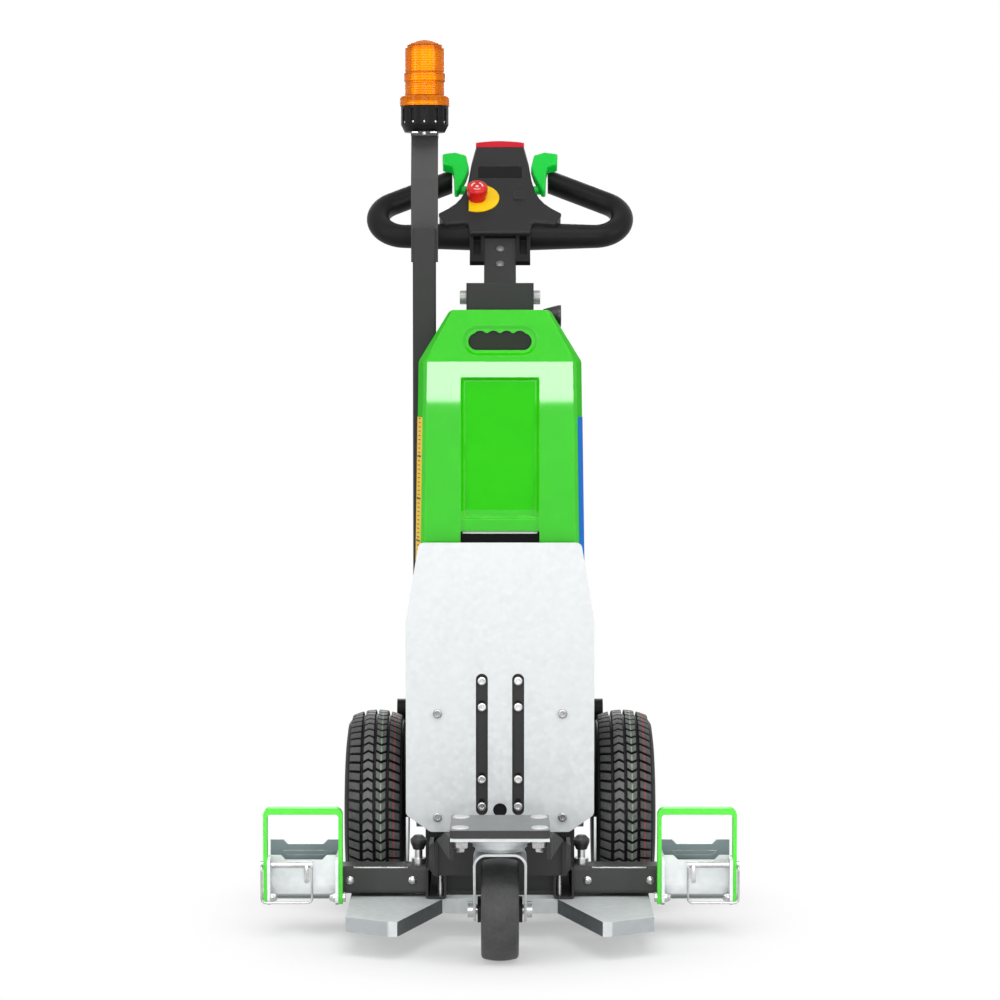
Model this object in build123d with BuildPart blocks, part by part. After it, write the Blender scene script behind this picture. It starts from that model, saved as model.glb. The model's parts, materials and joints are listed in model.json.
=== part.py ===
from build123d import *
import os
from math import cos, hypot, radians, sin, tan

# Pedestrian electric tow tractor: two driven wheels, a swivel castor under a nose plate,
# castor pockets on cross arms, a battery case on a column and a tilting tiller.
# Millimetres. X is across, the load side faces -Y, Z is up from the floor.
# Reaches ahead of and behind the drive axle are counted from the axle.

# Fits
RUN_FIT = 0.05
SEAT_GAP = 0.1
FACE_GAP = 0.3

# Drive wheels
TYRE_R = 130.0
TYRE_W = 80.0
SHOULDER_DROP = 8.0
SHOULDER_INSET = 6.0
BEAD_R = 52.0
BEAD_HALF = 25.0
BEAD_H = 8.0
GROOVE_W = 5.0
GROOVE_DEPTH = 6.0
GROOVE_PITCH = 17.0
RIM_FLANGE_T = 3.0
RIM_FLANGE_H = 7.0
RIM_BARREL_T = 6.0
RIM_DISC_T = 8.0
RIM_WINDOW_R = 7.0
RIM_WINDOWS = 4
HUB_R = 24.0
HUB_HALF = 26.0
SHAFT_R = 10.0
SHAFT_NUT_R = 15.0
SHAFT_NUT_T = 8.0
WHEEL_GAP = 12.0

# Frame rails and beams
RAIL_W = 26.0
RAIL_H = 40.0
RAIL_WALL = 3.0
RAIL_EDGE_R = 5.0
RAIL_X = 81.0
RAIL_Z0 = 50.0
RAIL_AHEAD = 105.0
RAIL_REAR = 75.0
BEAM_SETBACK = 35.0
BEAM_D = 30.0
BEAM_RISE = 4.0
BEAM_LIP = 6.0
REAR_BEAM_H = 16.0
SADDLE_W = 20.0
SADDLE_D = 64.0

# Drive unit
AXLE_TUBE_R = 27.0
AXLE_TUBE_OUT = 18.0
AXLE_FLARE_R = 40.0
AXLE_FLARE_GAP = 5.0
GEARBOX_R = 58.0
GEARBOX_HALF = 32.0
GEARBOX_EDGE = 8.0
GEARBOX_RIB = 4.0
GEARBOX_RIB_W = 12.0
MOTOR_FLANGE_R = 50.0
MOTOR_FLANGE_END = 62.0
MOTOR_R = 45.0
MOTOR_L = 106.0
MOTOR_COLLAR = 10.0
MOTOR_BELL = 24.0
MOTOR_WAIST = 2.5
BRAKE_R = 38.0
BRAKE_L = 28.0
BRAKE_EDGE = 5.0

# Swivel castor, built up from the floor
CASTER_R = 62.5
CASTER_W = 46.0
CASTER_TRAIL = 38.0
CASTER_ROOM = 15.7
CASTER_HUB_R = 42.0
TREAD_EDGE = 6.0
TREAD_CROWN = 2.0
HUB_BOSS_R = 16.0
HUB_SIDE_GAP = 2.0
CASTER_AXLE_R = 6.0
AXLE_NUT_R = 10.0
AXLE_NUT_T = 7.0
FORK_T = 3.0
FORK_INNER = 59.0
FORK_BEND_R = 16.0
FORK_BOSS_R = 15.0
CROWN_R = 30.0
CROWN_T = 4.0
CROWN_D = 72.0
CROWN_SKIRT = 9.0
KINGPIN_R = 9.0
RACE_R = 38.0
RACE_H = 14.0
RACE_STEP = 5.0
RACE_STEP_H = 6.0
CASTER_PLATE_T = 4.0
CASTER_PLATE_INSET = 7.0
PLATE_LIP_INSET = 0.5

# Nose plate and the neck that carries it
NOSE_L = 112.0
NOSE_W = 120.0
NOSE_T = 10.0
NOSE_CORNER_R = 5.0
NECK_L = 165.0
NECK_T = 5.0
NECK_INSET = 4.0
NECK_RISE = 34.0
NECK_LIP = 26.0
NECK_ROOM = 9.4
NECK_SIDE_GAP = 1.0
NECK_SETBACK = 8.0

# Body shell, coupling bars and front plate
SHEET_T = 3.0
SHELL_BACK = 12.0
SHELL_LAP = 30.0
SHELL_RISE = 376.0
SHELL_EDGE_R = 5.0
AXLE_GAP = 5.0
COLUMN_CLEAR = 8.0
BAR_T = 8.0
BAR_W = 22.0
SLOT_X = 23.5
SLOT_W = 15.5
SLOT_H = 185.0
SLOT_RISE = 21.5
BOLT_HOLE_R = 4.0
LOW_BOLTS = (18.0, 52.0)
HIGH_BOLTS = (8.0, 39.0)
PLATE_CLEAR = 7.0
PLATE_RISE = 30.0
PLATE_TOP_HALF = 105.0
PLATE_HALF = 122.0
PLATE_TAPER_H = 104.0
PLATE_CHAMFER_H = 22.5
PLATE_GAP = 29.5
PLATE_LOW_HALF = 90.0
PLATE_CORNER_R = 8.0
CABLE_HOLE_R = 9.0
CABLE_HOLE_RISE = 28.5
SPACER_R = 8.0
SPACER_RISES = (19.5, 154.5)

# Battery case
CASE_H = 330.0
CASE_BROW_H = 67.0
CASE_BROW = 18.0
CASE_SETBACK = 5.0
CASE_BACK_GAP = 4.0
CASE_TAPER = 34.0
CASE_TOP_HALF = 58.0
CASE_SHOULDER_HALF = 99.0
CASE_LOW_HALF = 103.0
CASE_FLARE = 7.0
CASE_EDGE_R = 10.0
CASE_FACE_EDGE = 5.0
CASE_WALL = 6.0
GRIP_W = 82.0
GRIP_H = 25.0
GRIP_DROP = 39.5
GRIP_DEPTH = 40.0
FINGER_R = 9.5
FINGER_PITCH = 17.0
FINGER_RISE = 3.0
FINGERS = 4
DISH_DEPTH = 4.0
DISH_SLOPE = 50.0
DISH_LAND = 3.0
PANEL_W = 102.0
PANEL_H = 186.0
PANEL_DROP = 20.0
PANEL_DEPTH = 5.0
PANEL_SLOPE = 40.0
PANEL_CORNER_R = 4.0
PANEL_TILT = 3.0
PANEL_TILT_INSET = 6.0
FOOT_DEPTH = 3.0
FOOT_INSET = 1.0
FOOT_OVERLAP = 12.0
LATCH_H = 43.0
LATCH_DEPTH = 12.0
BATTERY_SIDE_GAP = 5.0
BATTERY_END_GAP = 8.0
BATTERY_TOP_GAP = 23.0

# Column
COLUMN_W = 90.0
COLUMN_D = 60.0
COLUMN_WALL = 4.0
YOKE_WALL = 8.0
YOKE_RISE = 19.0
YOKE_OPEN = 41.0
YOKE_GAP = 0.5
PIVOT_RISE = 17.0
PIVOT_R = 8.0
PIVOT_HEAD_R = 9.5
PIVOT_HEAD_T = 9.0
PLUNGER_DROP = 25.0
PLUNGER_R = 9.0
PLUNGER_L = 13.0
KNOB_L = 24.0
KNOB_R0 = 9.5
KNOB_R1 = 15.0
KNOB_RIM = 4.0

# Rear cover and rear bar
COVER_W = 150.0
COVER_D = 48.0
COVER_H = 170.0
COVER_GAP = 12.0
COVER_WALL = 3.0
COVER_EDGE_R = 14.0
COVER_BEVEL = 12.0
REAR_BAR_CLEAR = 7.9
REAR_BAR_ANGLE = 49.5
REAR_BAR_R = 16.0
REAR_BAR_HALF = 141.0
REAR_BAR_CAP = 14.0
REAR_BAR_BLOCK_W = 60.0

# Beacon and its post
POST_X = -101.0
POST_W = 31.0
POST_D = 16.0
POST_EDGE_R = 3.0
POST_LOW = 50.0
POST_RISE = 73.0
POST_TIES = (50.0, 180.0)
POST_TIE_H = 20.0
POST_TIE_D = 8.0
STRAP_W = 36.0
STRAP_T = 6.0
STRAP_LAP = 45.0
STRAP_STAND = 66.0
STRAP_SLANT_H = 63.0
STRAP_LEAN = 18.0
STRAP_SHELF_D = 60.0
BEACON_R = 32.0
BEACON_FOOT_R = 27.0
BEACON_FOOT_H = 10.0
BEACON_H = 35.0
BEACON_SLOTS = 12
BEACON_SLOT_W = 6.0
BEACON_SLOT_DEPTH = 3.0
BEACON_SLOT_EDGE = 4.0
LENS_FLANGE_R = 33.5
LENS_FLANGE_H = 14.0
LENS_FLANGE_ROUND = 5.0
LENS_R = 26.5
LENS_H = 89.0
LENS_BAND = 1.4
LENS_BAND_H = 13.0
LENS_BAND_RISE = 32.0
LENS_STEP = 2.8
LENS_STEP_H = 12.5
LENS_DOME_H = 7.5
LENS_FLAT_R = 4.0

# Cross arms and their locks
ARM_L = 110.0
ARM_H = 35.0
ARM_D = 40.0
ARM_LIFT = 4.0
ARM_SETBACK = 15.0
ARM_WALL = 3.0
ARM_EDGE_R = 5.0
LOCK_GAP = 1.0
LOCK_COLLAR_R = 9.0
LOCK_COLLAR_H = 8.0
LOCK_STEM_R = 5.0
LOCK_STEM_H = 11.0
LOCK_WAIST_R = 7.0
LOCK_KNOB_R = 10.5
LOCK_KNOB_H = 18.0
LOCK_KNOB_EDGE = 5.0

# Castor pockets, bails and lock pins
POCKET_W = 90.0
POCKET_T = 4.0
POCKET_GAP = 34.0
POCKET_SETBACK = 6.0
POCKET_DROP = 4.0
POCKET_FRONT_H = 59.0
POCKET_BACK_H = 73.0
POCKET_NOTCH_W = 46.0
POCKET_NOTCH_D = 6.0
EAR_REACH = 22.0
EAR_H = 59.0
EAR_R = 7.0
BAIL_T = 5.0
BAIL_D = 15.0
BAIL_H = 123.0
BAIL_DROP = 1.0
BAIL_BAR_H = 8.0
BAIL_BEND_R = 9.0
BAIL_FOOT_R = 6.0
BAIL_BOLT_R = 4.0
BAIL_BOLT_RISE = 9.0
BAIL_HEAD_R = 6.5
BAIL_HEAD_T = 3.5
PIN_R = 4.0
PIN_HOLE_GAP = 0.25
PIN_DROP = 9.0
PIN_TIP = 62.0
PIN_HEAD_R = 6.0
PIN_HEAD_T = 3.5
BOW_R = 1.5
BOW_DROP = 46.0
BOW_BEND_R = 6.0

# Skid plate under the rails
SKID_T = 3.0
SKID_DROP = 18.5
SKID_D = 83.0
SKID_SETBACK = 2.0
SKID_NOTCH_X = 73.0
SKID_TIP_X = 131.0
SKID_TIP_W = 11.0
SKID_TIP_BACK = 22.0
SKID_OUT_X = 190.0
SKID_OUT_BACK = 31.0

# Tiller: its lean at rest, and heights along it from the pivot
TILLER_LEAN = 50.0
TUBE_W = 43.0
TUBE_D = 30.0
TUBE_WALL = 3.0
TUBE_TAIL = 17.0
SOCKET_LOW = 52.0
SOCKET_L = 56.0
SOCKET_WALL = 4.5
SOCKET_POCKET_L = 42.0
SOCKET_POCKET_DEPTH = 9.0
SOCKET_TIP = 13.0
SOCKET_RUN = 46.0
LOOP_BAR_RISE = 23.0
LOOP_BAR_R = 20.5
LOOP_GRIP_R = 16.0
LOOP_BEND_R = 39.0
LOOP_BEND_X = 129.5
LOOP_TURN = 148.0
GRIP_LENGTH = 110.0
GRIP_END_X = 67.0
HEAD_RISE = 170.0
HEAD_HALF = 41.0
HEAD_END_HALF = 34.0
HEAD_DEPTH = 24.0
HEAD_BEVEL = 8.0
COVER_T = 5.5
COVER_BEVEL_T = 2.0
COVER_CORNER_R = 4.0
WING_HALF = 85.0
WEB_TOP = 15.0
WEB_LOW = 14.0
WEB_BEVEL = 5.0
WEB_INSET = 1.5
LABEL_W = 62.0
LABEL_H = 28.0
LABEL_DROP = 59.0
LABEL_DEPTH = 1.0
LABEL_CORNER_R = 3.0
KEY_X = 27.0
KEY_RISE = 57.0
KEY_SIZE = 17.0
KEY_H = 2.5
KEY_BEVEL = 1.0
BELLY_T = 19.0
BELLY_CROWN = 4.0
BELLY_R = 8.0
PADDLE_T = 14.0
PADDLE_LIFT = 1.0
PADDLE_ROUND = 3.0
PADDLE_STUB_SHARE = 0.5
PADDLE_STUB_R = 6.0
PADDLE_STUB_L = 17.0
ESTOP_X = -31.5
ESTOP_RISE = 51.0
ESTOP_PLATE_R = 30.5
ESTOP_PLATE_T = 1.5
ESTOP_PLATE_CUT = 11.5
ESTOP_STEM_R = 10.0
ESTOP_NECK_R = 12.0
ESTOP_STEM_H = 9.0
ESTOP_CAP_R = 14.5
ESTOP_CAP_H = 12.0
ESTOP_ROUND = 4.0
ESTOP_DISH = 1.0

# Levels from the floor up
AXLE_Z = TYRE_R
RAIL_Z = RAIL_Z0 + RAIL_H / 2
RAIL_TOP = RAIL_Z0 + RAIL_H
COLUMN_Z0 = AXLE_Z + GEARBOX_R + GEARBOX_RIB + COLUMN_CLEAR
SHELL_Z0 = RAIL_TOP - SHELL_LAP
SHELL_TOP = RAIL_TOP + SHELL_RISE
CASE_TOP = SHELL_TOP + CASE_H
CASE_SHOULDER_Z = CASE_TOP - CASE_BROW_H
PIVOT_Z = CASE_TOP + PIVOT_RISE
YOKE_TOP = PIVOT_Z + YOKE_RISE
CROWN_LOW = 2 * CASTER_R + CASTER_ROOM + FORK_T
CROWN_TOP = CROWN_LOW + CROWN_T
RACE_LOW = CROWN_TOP + FACE_GAP
RACE_TOP = RACE_LOW + RACE_H
NOSE_UNDER = RACE_TOP + CASTER_PLATE_T

# Distances across
RAIL_INNER = RAIL_X - RAIL_W / 2
RAIL_OUTER = RAIL_X + RAIL_W / 2
SHELL_HALF = RAIL_OUTER + SHEET_T
AXLE_TUBE_HALF = RAIL_OUTER + AXLE_TUBE_OUT
TRACK_HALF = AXLE_TUBE_HALF + WHEEL_GAP + TYRE_W / 2
POCKET_X0 = RAIL_OUTER + ARM_L
POCKET_X1 = POCKET_X0 + POCKET_W

# Reaches ahead of the axle (the load side) and behind it
SHELL_FRONT = TYRE_R + PLATE_CLEAR - BAR_T
RAIL_FRONT = TYRE_R + RAIL_AHEAD
SWIVEL_REACH = RAIL_FRONT + NECK_L
FRONT_REACH = SWIVEL_REACH + NOSE_L / 2
PIVOT_BACK = SHELL_BACK + COLUMN_D / 2

# Heights along the tiller
HEAD_LOW = SOCKET_LOW + SOCKET_L
LOOP_BAR_A = HEAD_LOW + LOOP_BAR_RISE
HEAD_END = LOOP_BAR_A + HEAD_RISE
HEAD_TOP = LOOP_BAR_R
COVER_TOP = HEAD_TOP + COVER_T

# Overall placing: the middle of the length, from the nose to the belly button, is Y = 0
LEAN = radians(TILLER_LEAN)
REAR_REACH = (
    PIVOT_BACK
    + (HEAD_END + BELLY_T - BELLY_R) * sin(LEAN)
    + (HEAD_DEPTH - BELLY_R) * cos(LEAN)
    + BELLY_R
)
AXLE_Y = (FRONT_REACH - REAR_REACH) / 2

SIDES = (-1, 1)
SIDE_NAMES = ((-1, "left"), (1, "right"))
os.makedirs("parts", exist_ok=True)


def front_plane(y):
    """A plane seen from the load side: local x is X, local y is Z, extruding comes forward."""
    return Plane(origin=(0, y, 0), x_dir=(1, 0, 0), z_dir=(0, -1, 0))


def side_plane(x):
    """A plane seen from the right: local x is Y, local y is Z, extruding goes to +X."""
    return Plane.YZ.offset(x)


def axle_plane(x, y, z):
    """A plane for turning a shape about an axis along X: local x is X, local y is the radius."""
    return Plane(origin=(x, y, z), x_dir=(1, 0, 0), z_dir=(0, -1, 0))


def save(piece, name):
    """Label a finished piece and write it as its own file."""
    piece.part.label = name
    export_step(piece.part, f"parts/{name}.step")


def back(distance):
    """The Y of something that lies this far behind the drive axle."""
    return AXLE_Y + distance


def ahead(distance):
    """The Y of something that lies this far ahead of the drive axle."""
    return AXLE_Y - distance


PIVOT_Y = back(PIVOT_BACK)
NOSE_Y = ahead(SWIVEL_REACH)
CASTER_Y = NOSE_Y + CASTER_TRAIL

# Drive wheels: tyre, two-flange rim and the shaft that turns with them
TYRE_HALF = TYRE_W / 2
SHOULDER_R = TYRE_R - SHOULDER_DROP
SHOULDER_HALF = TYRE_HALF - SHOULDER_INSET
BEAD_TOP_R = BEAD_R + BEAD_H
WALL_R = (BEAD_TOP_R + SHOULDER_R) / 2
RIM_SEAT_R = BEAD_R - SEAT_GAP
RIM_INNER_R = RIM_SEAT_R - RIM_BARREL_T
SHAFT_BORE_R = SHAFT_R + RUN_FIT
for sign, side in SIDE_NAMES:
    wheel_plane = Plane(
        origin=(sign * TRACK_HALF, AXLE_Y, AXLE_Z), x_dir=(sign, 0, 0), z_dir=(0, -sign, 0)
    )
    wheel_axis = Axis((0, AXLE_Y, AXLE_Z), (1, 0, 0))

    with BuildPart() as tyre:
        with BuildSketch(wheel_plane):
            with BuildLine():
                Line((-BEAD_HALF, BEAD_R), (BEAD_HALF, BEAD_R))
                Line((BEAD_HALF, BEAD_R), (BEAD_HALF, BEAD_TOP_R))
                ThreePointArc((BEAD_HALF, BEAD_TOP_R), (TYRE_HALF, WALL_R), (SHOULDER_HALF, SHOULDER_R))
                ThreePointArc((SHOULDER_HALF, SHOULDER_R), (0, TYRE_R), (-SHOULDER_HALF, SHOULDER_R))
                ThreePointArc((-SHOULDER_HALF, SHOULDER_R), (-TYRE_HALF, WALL_R), (-BEAD_HALF, BEAD_TOP_R))
                Line((-BEAD_HALF, BEAD_TOP_R), (-BEAD_HALF, BEAD_R))
            make_face()
            with Locations(*[(k * GROOVE_PITCH, TYRE_R) for k in (-1, 0, 1)]):
                Rectangle(GROOVE_W, 2 * GROOVE_DEPTH, mode=Mode.SUBTRACT)
        revolve(axis=wheel_axis)
    save(tyre, f"tyre_{side}")

    with BuildPart() as rim:
        flange_mid = BEAD_HALF + SEAT_GAP + RIM_FLANGE_T / 2
        with BuildSketch(wheel_plane):
            with Locations((0, RIM_SEAT_R - RIM_BARREL_T / 2)):
                Rectangle(2 * flange_mid + RIM_FLANGE_T, RIM_BARREL_T)
            with Locations((-flange_mid, RIM_SEAT_R), (flange_mid, RIM_SEAT_R)):
                Rectangle(RIM_FLANGE_T, 2 * RIM_FLANGE_H)
            with Locations((0, (SHAFT_BORE_R + RIM_SEAT_R) / 2)):
                Rectangle(RIM_DISC_T, RIM_SEAT_R - SHAFT_BORE_R)
            with Locations((0, (SHAFT_BORE_R + HUB_R) / 2)):
                Rectangle(2 * HUB_HALF, HUB_R - SHAFT_BORE_R)
        revolve(axis=wheel_axis)
        with BuildSketch(side_plane(sign * TRACK_HALF - RIM_DISC_T / 2)):
            with Locations((AXLE_Y, AXLE_Z)):
                with PolarLocations((HUB_R + RIM_INNER_R) / 2, RIM_WINDOWS):
                    Circle(RIM_WINDOW_R)
        extrude(amount=RIM_DISC_T, mode=Mode.SUBTRACT)
    save(rim, f"rim_{side}")

    with BuildPart() as shaft:
        inner_end = GEARBOX_HALF - TRACK_HALF
        with BuildSketch(wheel_plane):
            with Locations(((inner_end + HUB_HALF) / 2, SHAFT_R / 2)):
                Rectangle(HUB_HALF - inner_end, SHAFT_R)
            with Locations((HUB_HALF + SHAFT_NUT_T / 2, SHAFT_NUT_R / 2)):
                Rectangle(SHAFT_NUT_T, SHAFT_NUT_R)
        revolve(axis=wheel_axis)
    save(shaft, f"shaft_{side}")

# Drive unit: a cast gear drum with a rib round its seam, flared axle tubes and a flange for the motor
CASTING = (
    # half length, radius
    (AXLE_TUBE_HALF, 0),
    (AXLE_TUBE_HALF, AXLE_TUBE_R),
    (RAIL_X - SADDLE_W / 2 - AXLE_FLARE_GAP, AXLE_TUBE_R),
    (GEARBOX_HALF, AXLE_FLARE_R),
    (GEARBOX_HALF, GEARBOX_R - GEARBOX_EDGE),
    (GEARBOX_HALF - GEARBOX_EDGE, GEARBOX_R),
    (GEARBOX_RIB_W / 2, GEARBOX_R),
    (GEARBOX_RIB_W / 2, GEARBOX_R + GEARBOX_RIB),
)
with BuildPart() as transaxle:
    with BuildSketch(axle_plane(0, AXLE_Y, AXLE_Z)):
        with BuildLine():
            Polyline(*CASTING, *[(-x, r) for x, r in reversed(CASTING)], close=True)
        make_face()
    revolve(axis=Axis((0, AXLE_Y, AXLE_Z), (1, 0, 0)))
    with BuildSketch(front_plane(back(MOTOR_FLANGE_END))):
        with Locations((0, AXLE_Z)):
            Circle(MOTOR_FLANGE_R)
    extrude(amount=MOTOR_FLANGE_END)
    with BuildSketch(side_plane(-AXLE_TUBE_HALF)):
        with Locations((AXLE_Y, AXLE_Z)):
            Circle(SHAFT_BORE_R)
    extrude(amount=2 * AXLE_TUBE_HALF, mode=Mode.SUBTRACT)
save(transaxle, "transaxle")

MOTOR_END = MOTOR_FLANGE_END + MOTOR_L
MOTOR_RINGS = (
    # from, to, radius
    (MOTOR_FLANGE_END, MOTOR_FLANGE_END + MOTOR_COLLAR, MOTOR_R),
    (MOTOR_FLANGE_END + MOTOR_COLLAR, MOTOR_END - MOTOR_BELL, MOTOR_R - MOTOR_WAIST),
    (MOTOR_END - MOTOR_BELL, MOTOR_END, MOTOR_R),
    (MOTOR_END, MOTOR_END + BRAKE_L, BRAKE_R),
)
with BuildPart() as drive_motor:
    for start, end, radius in MOTOR_RINGS:
        with BuildSketch(front_plane(back(end))):
            with Locations((0, AXLE_Z)):
                Circle(radius)
        extrude(amount=end - start)
    chamfer(drive_motor.faces().sort_by(Axis.Y)[-1].edges(), BRAKE_EDGE)
save(drive_motor, "drive_motor")

# Frame: two open-ended rails, a front beam with a lip, a rear beam and the saddles under the axle tubes
BEAM_BACK = ahead(RAIL_FRONT - BEAM_SETBACK - BEAM_D)
BEAMS = (
    # back, depth, underside, height
    (BEAM_BACK, BEAM_D, RAIL_Z0 + BEAM_RISE, RAIL_H - BEAM_RISE),
    (BEAM_BACK, BEAM_D + BEAM_LIP, RAIL_Z0, BEAM_RISE),
    (back(RAIL_REAR), BEAM_D, RAIL_Z0, REAR_BEAM_H),
)
with BuildPart() as frame_rails:
    with BuildSketch(front_plane(back(RAIL_REAR))):
        with Locations(*[(sign * RAIL_X, RAIL_Z) for sign in SIDES]):
            RectangleRounded(RAIL_W, RAIL_H, RAIL_EDGE_R)
            RectangleRounded(
                RAIL_W - 2 * RAIL_WALL, RAIL_H - 2 * RAIL_WALL, RAIL_EDGE_R - RAIL_WALL, mode=Mode.SUBTRACT
            )
    extrude(amount=RAIL_REAR + RAIL_FRONT)
    for beam_y, beam_d, beam_z0, beam_h in BEAMS:
        with BuildSketch(front_plane(beam_y)):
            with Locations((0, beam_z0 + beam_h / 2)):
                Rectangle(2 * (RAIL_INNER + RAIL_WALL), beam_h)
        extrude(amount=beam_d)
    with BuildSketch(front_plane(back(RAIL_REAR))):
        with Locations(*[(sign * RAIL_X, RAIL_Z) for sign in SIDES]):
            RectangleRounded(RAIL_W - 2 * RAIL_WALL, RAIL_H - 2 * RAIL_WALL, RAIL_EDGE_R - RAIL_WALL)
    extrude(amount=RAIL_REAR + RAIL_FRONT, mode=Mode.SUBTRACT)
    with BuildSketch(front_plane(back(SADDLE_D / 2))):
        with Locations(*[(sign * RAIL_X, (RAIL_TOP + AXLE_Z) / 2) for sign in SIDES]):
            Rectangle(SADDLE_W, AXLE_Z - RAIL_TOP)
    extrude(amount=SADDLE_D)
    with BuildSketch(side_plane(-RAIL_OUTER)):
        with Locations((AXLE_Y, AXLE_Z)):
            Circle(AXLE_TUBE_R + SEAT_GAP)
    extrude(amount=2 * RAIL_OUTER, mode=Mode.SUBTRACT)
save(frame_rails, "frame_rails")

# Neck: two bent side plates from the rails to the nose plate, with a web behind the castor
CASTER_SWEEP = hypot(CASTER_TRAIL + CASTER_R, CASTER_W / 2)
NECK_REAR_X = RAIL_OUTER - NECK_INSET
NECK_REAR_Z = RAIL_TOP + NECK_RISE
NECK_FRONT_X = NOSE_W / 2 + NECK_SIDE_GAP
NECK_FRONT_Y = NOSE_Y - NOSE_L / 2 + NECK_SETBACK
NECK_BEND_Y = ahead(RAIL_FRONT)
NECK_WEB_Y = NOSE_Y + CASTER_SWEEP + NECK_ROOM
NECK_LIP_Z = NOSE_UNDER - NECK_LIP
with BuildPart() as neck_plates:
    for sign in SIDES:
        with BuildSketch(Plane.XY.offset(RAIL_TOP)):
            with BuildLine():
                Polyline(
                    (sign * NECK_FRONT_X, NECK_FRONT_Y),
                    (sign * NECK_REAR_X, NECK_BEND_Y),
                    (sign * NECK_REAR_X, BEAM_BACK),
                    (sign * (NECK_REAR_X - NECK_T), BEAM_BACK),
                    (sign * (NECK_REAR_X - NECK_T), NECK_BEND_Y),
                    (sign * (NECK_FRONT_X - NECK_T), NECK_FRONT_Y),
                    close=True,
                )
            make_face()
        extrude(amount=NOSE_UNDER - RAIL_TOP)
    # the web spans between the plates where they run towards the nose
    web_share = (NECK_WEB_Y - NECK_FRONT_Y) / (NECK_BEND_Y - NECK_FRONT_Y)
    web_half = NECK_FRONT_X + web_share * (NECK_REAR_X - NECK_FRONT_X) - NECK_T / 2
    with BuildSketch(Plane.XY.offset(RAIL_TOP)):
        with Locations((0, NECK_WEB_Y + NECK_T / 2)):
            Rectangle(2 * web_half, NECK_T)
    extrude(amount=NOSE_UNDER - RAIL_TOP)
    with BuildSketch(side_plane(-NECK_REAR_X)):
        with BuildLine():
            Polyline(
                (NECK_FRONT_Y, NOSE_UNDER),
                (NOSE_Y + NOSE_L / 2, NOSE_UNDER),
                (NECK_BEND_Y, NECK_REAR_Z),
                (BEAM_BACK, NECK_REAR_Z),
                (BEAM_BACK, RAIL_TOP),
                (NECK_WEB_Y - NECK_T / 2, RAIL_TOP),
                (NECK_WEB_Y - NECK_T, NECK_LIP_Z),
                (NECK_FRONT_Y, NECK_LIP_Z),
                close=True,
            )
        make_face()
    extrude(amount=2 * NECK_REAR_X, mode=Mode.INTERSECT)
save(neck_plates, "neck_plates")

with BuildPart() as nose_plate:
    with BuildSketch(Plane.XY.offset(NOSE_UNDER)):
        with Locations((0, NOSE_Y)):
            RectangleRounded(NOSE_W, NOSE_L, NOSE_CORNER_R)
    extrude(amount=NOSE_T)
save(nose_plate, "nose_plate")

# Swivel castor: top plate with its stepped ball race
with BuildPart() as caster_plate:
    with BuildSketch(Plane.XY.offset(RACE_TOP)):
        with Locations((0, NOSE_Y)):
            RectangleRounded(NOSE_W - 2 * CASTER_PLATE_INSET, NOSE_L - CASTER_PLATE_INSET, NOSE_CORNER_R)
        # its front edge runs the nose's full width, ahead of the neck
        lip_d = NECK_SETBACK - 3 * PLATE_LIP_INSET
        with Locations((0, NOSE_Y - (NOSE_L - lip_d) / 2 + PLATE_LIP_INSET)):
            Rectangle(NOSE_W - 2 * PLATE_LIP_INSET, lip_d)
    extrude(amount=CASTER_PLATE_T)
    for low, radius in ((RACE_LOW, RACE_R - RACE_STEP), (RACE_LOW + RACE_STEP_H, RACE_R)):
        with BuildSketch(Plane.XY.offset(low)):
            with Locations((0, NOSE_Y)):
                Circle(radius)
        extrude(amount=RACE_TOP - low)
    with BuildSketch(Plane.XY.offset(RACE_LOW)):
        with Locations((0, NOSE_Y)):
            Circle(KINGPIN_R + RUN_FIT)
    extrude(amount=RACE_H, mode=Mode.SUBTRACT)
save(caster_plate, "caster_plate")

# Fork: one strip bent over the wheel, its legs tapering to the axle, with crown ring and kingpin
FORK_HALF = FORK_INNER / 2 + FORK_T
FORK_FOOT_Z = CASTER_R - FORK_BOSS_R
FORK_BENDS = (
    # half width, top, bend radius, add or cut
    (FORK_HALF, CROWN_LOW, FORK_BEND_R, Mode.ADD),
    (FORK_INNER / 2, CROWN_LOW - FORK_T, FORK_BEND_R - FORK_T, Mode.SUBTRACT),
)
with BuildPart() as caster_fork:
    with BuildSketch(front_plane(CASTER_Y + FORK_BOSS_R)):
        for half, top, bend, way in FORK_BENDS:
            with BuildLine():
                FilletPolyline(
                    (-half, FORK_FOOT_Z), (-half, top), (half, top), (half, FORK_FOOT_Z), radius=bend
                )
                Line((half, FORK_FOOT_Z), (-half, FORK_FOOT_Z))
            make_face(mode=way)
    extrude(amount=CASTER_TRAIL + FORK_BOSS_R + CROWN_D / 2)
    with BuildSketch(side_plane(-FORK_HALF)):
        with Locations((CASTER_Y, CASTER_R)):
            Circle(FORK_BOSS_R)
        with Locations((NOSE_Y, CROWN_LOW - CROWN_SKIRT / 2)):
            Rectangle(CROWN_D, CROWN_SKIRT)
        make_hull()
        with Locations((CASTER_Y, CASTER_R)):
            Circle(CASTER_AXLE_R + RUN_FIT, mode=Mode.SUBTRACT)
    extrude(amount=2 * FORK_HALF, mode=Mode.INTERSECT)
    for low, radius, rise in ((CROWN_LOW, CROWN_R, CROWN_T), (CROWN_TOP, KINGPIN_R, RACE_H)):
        with BuildSketch(Plane.XY.offset(low)):
            with Locations((0, NOSE_Y)):
                Circle(radius)
        extrude(amount=rise)
save(caster_fork, "caster_fork")

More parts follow.
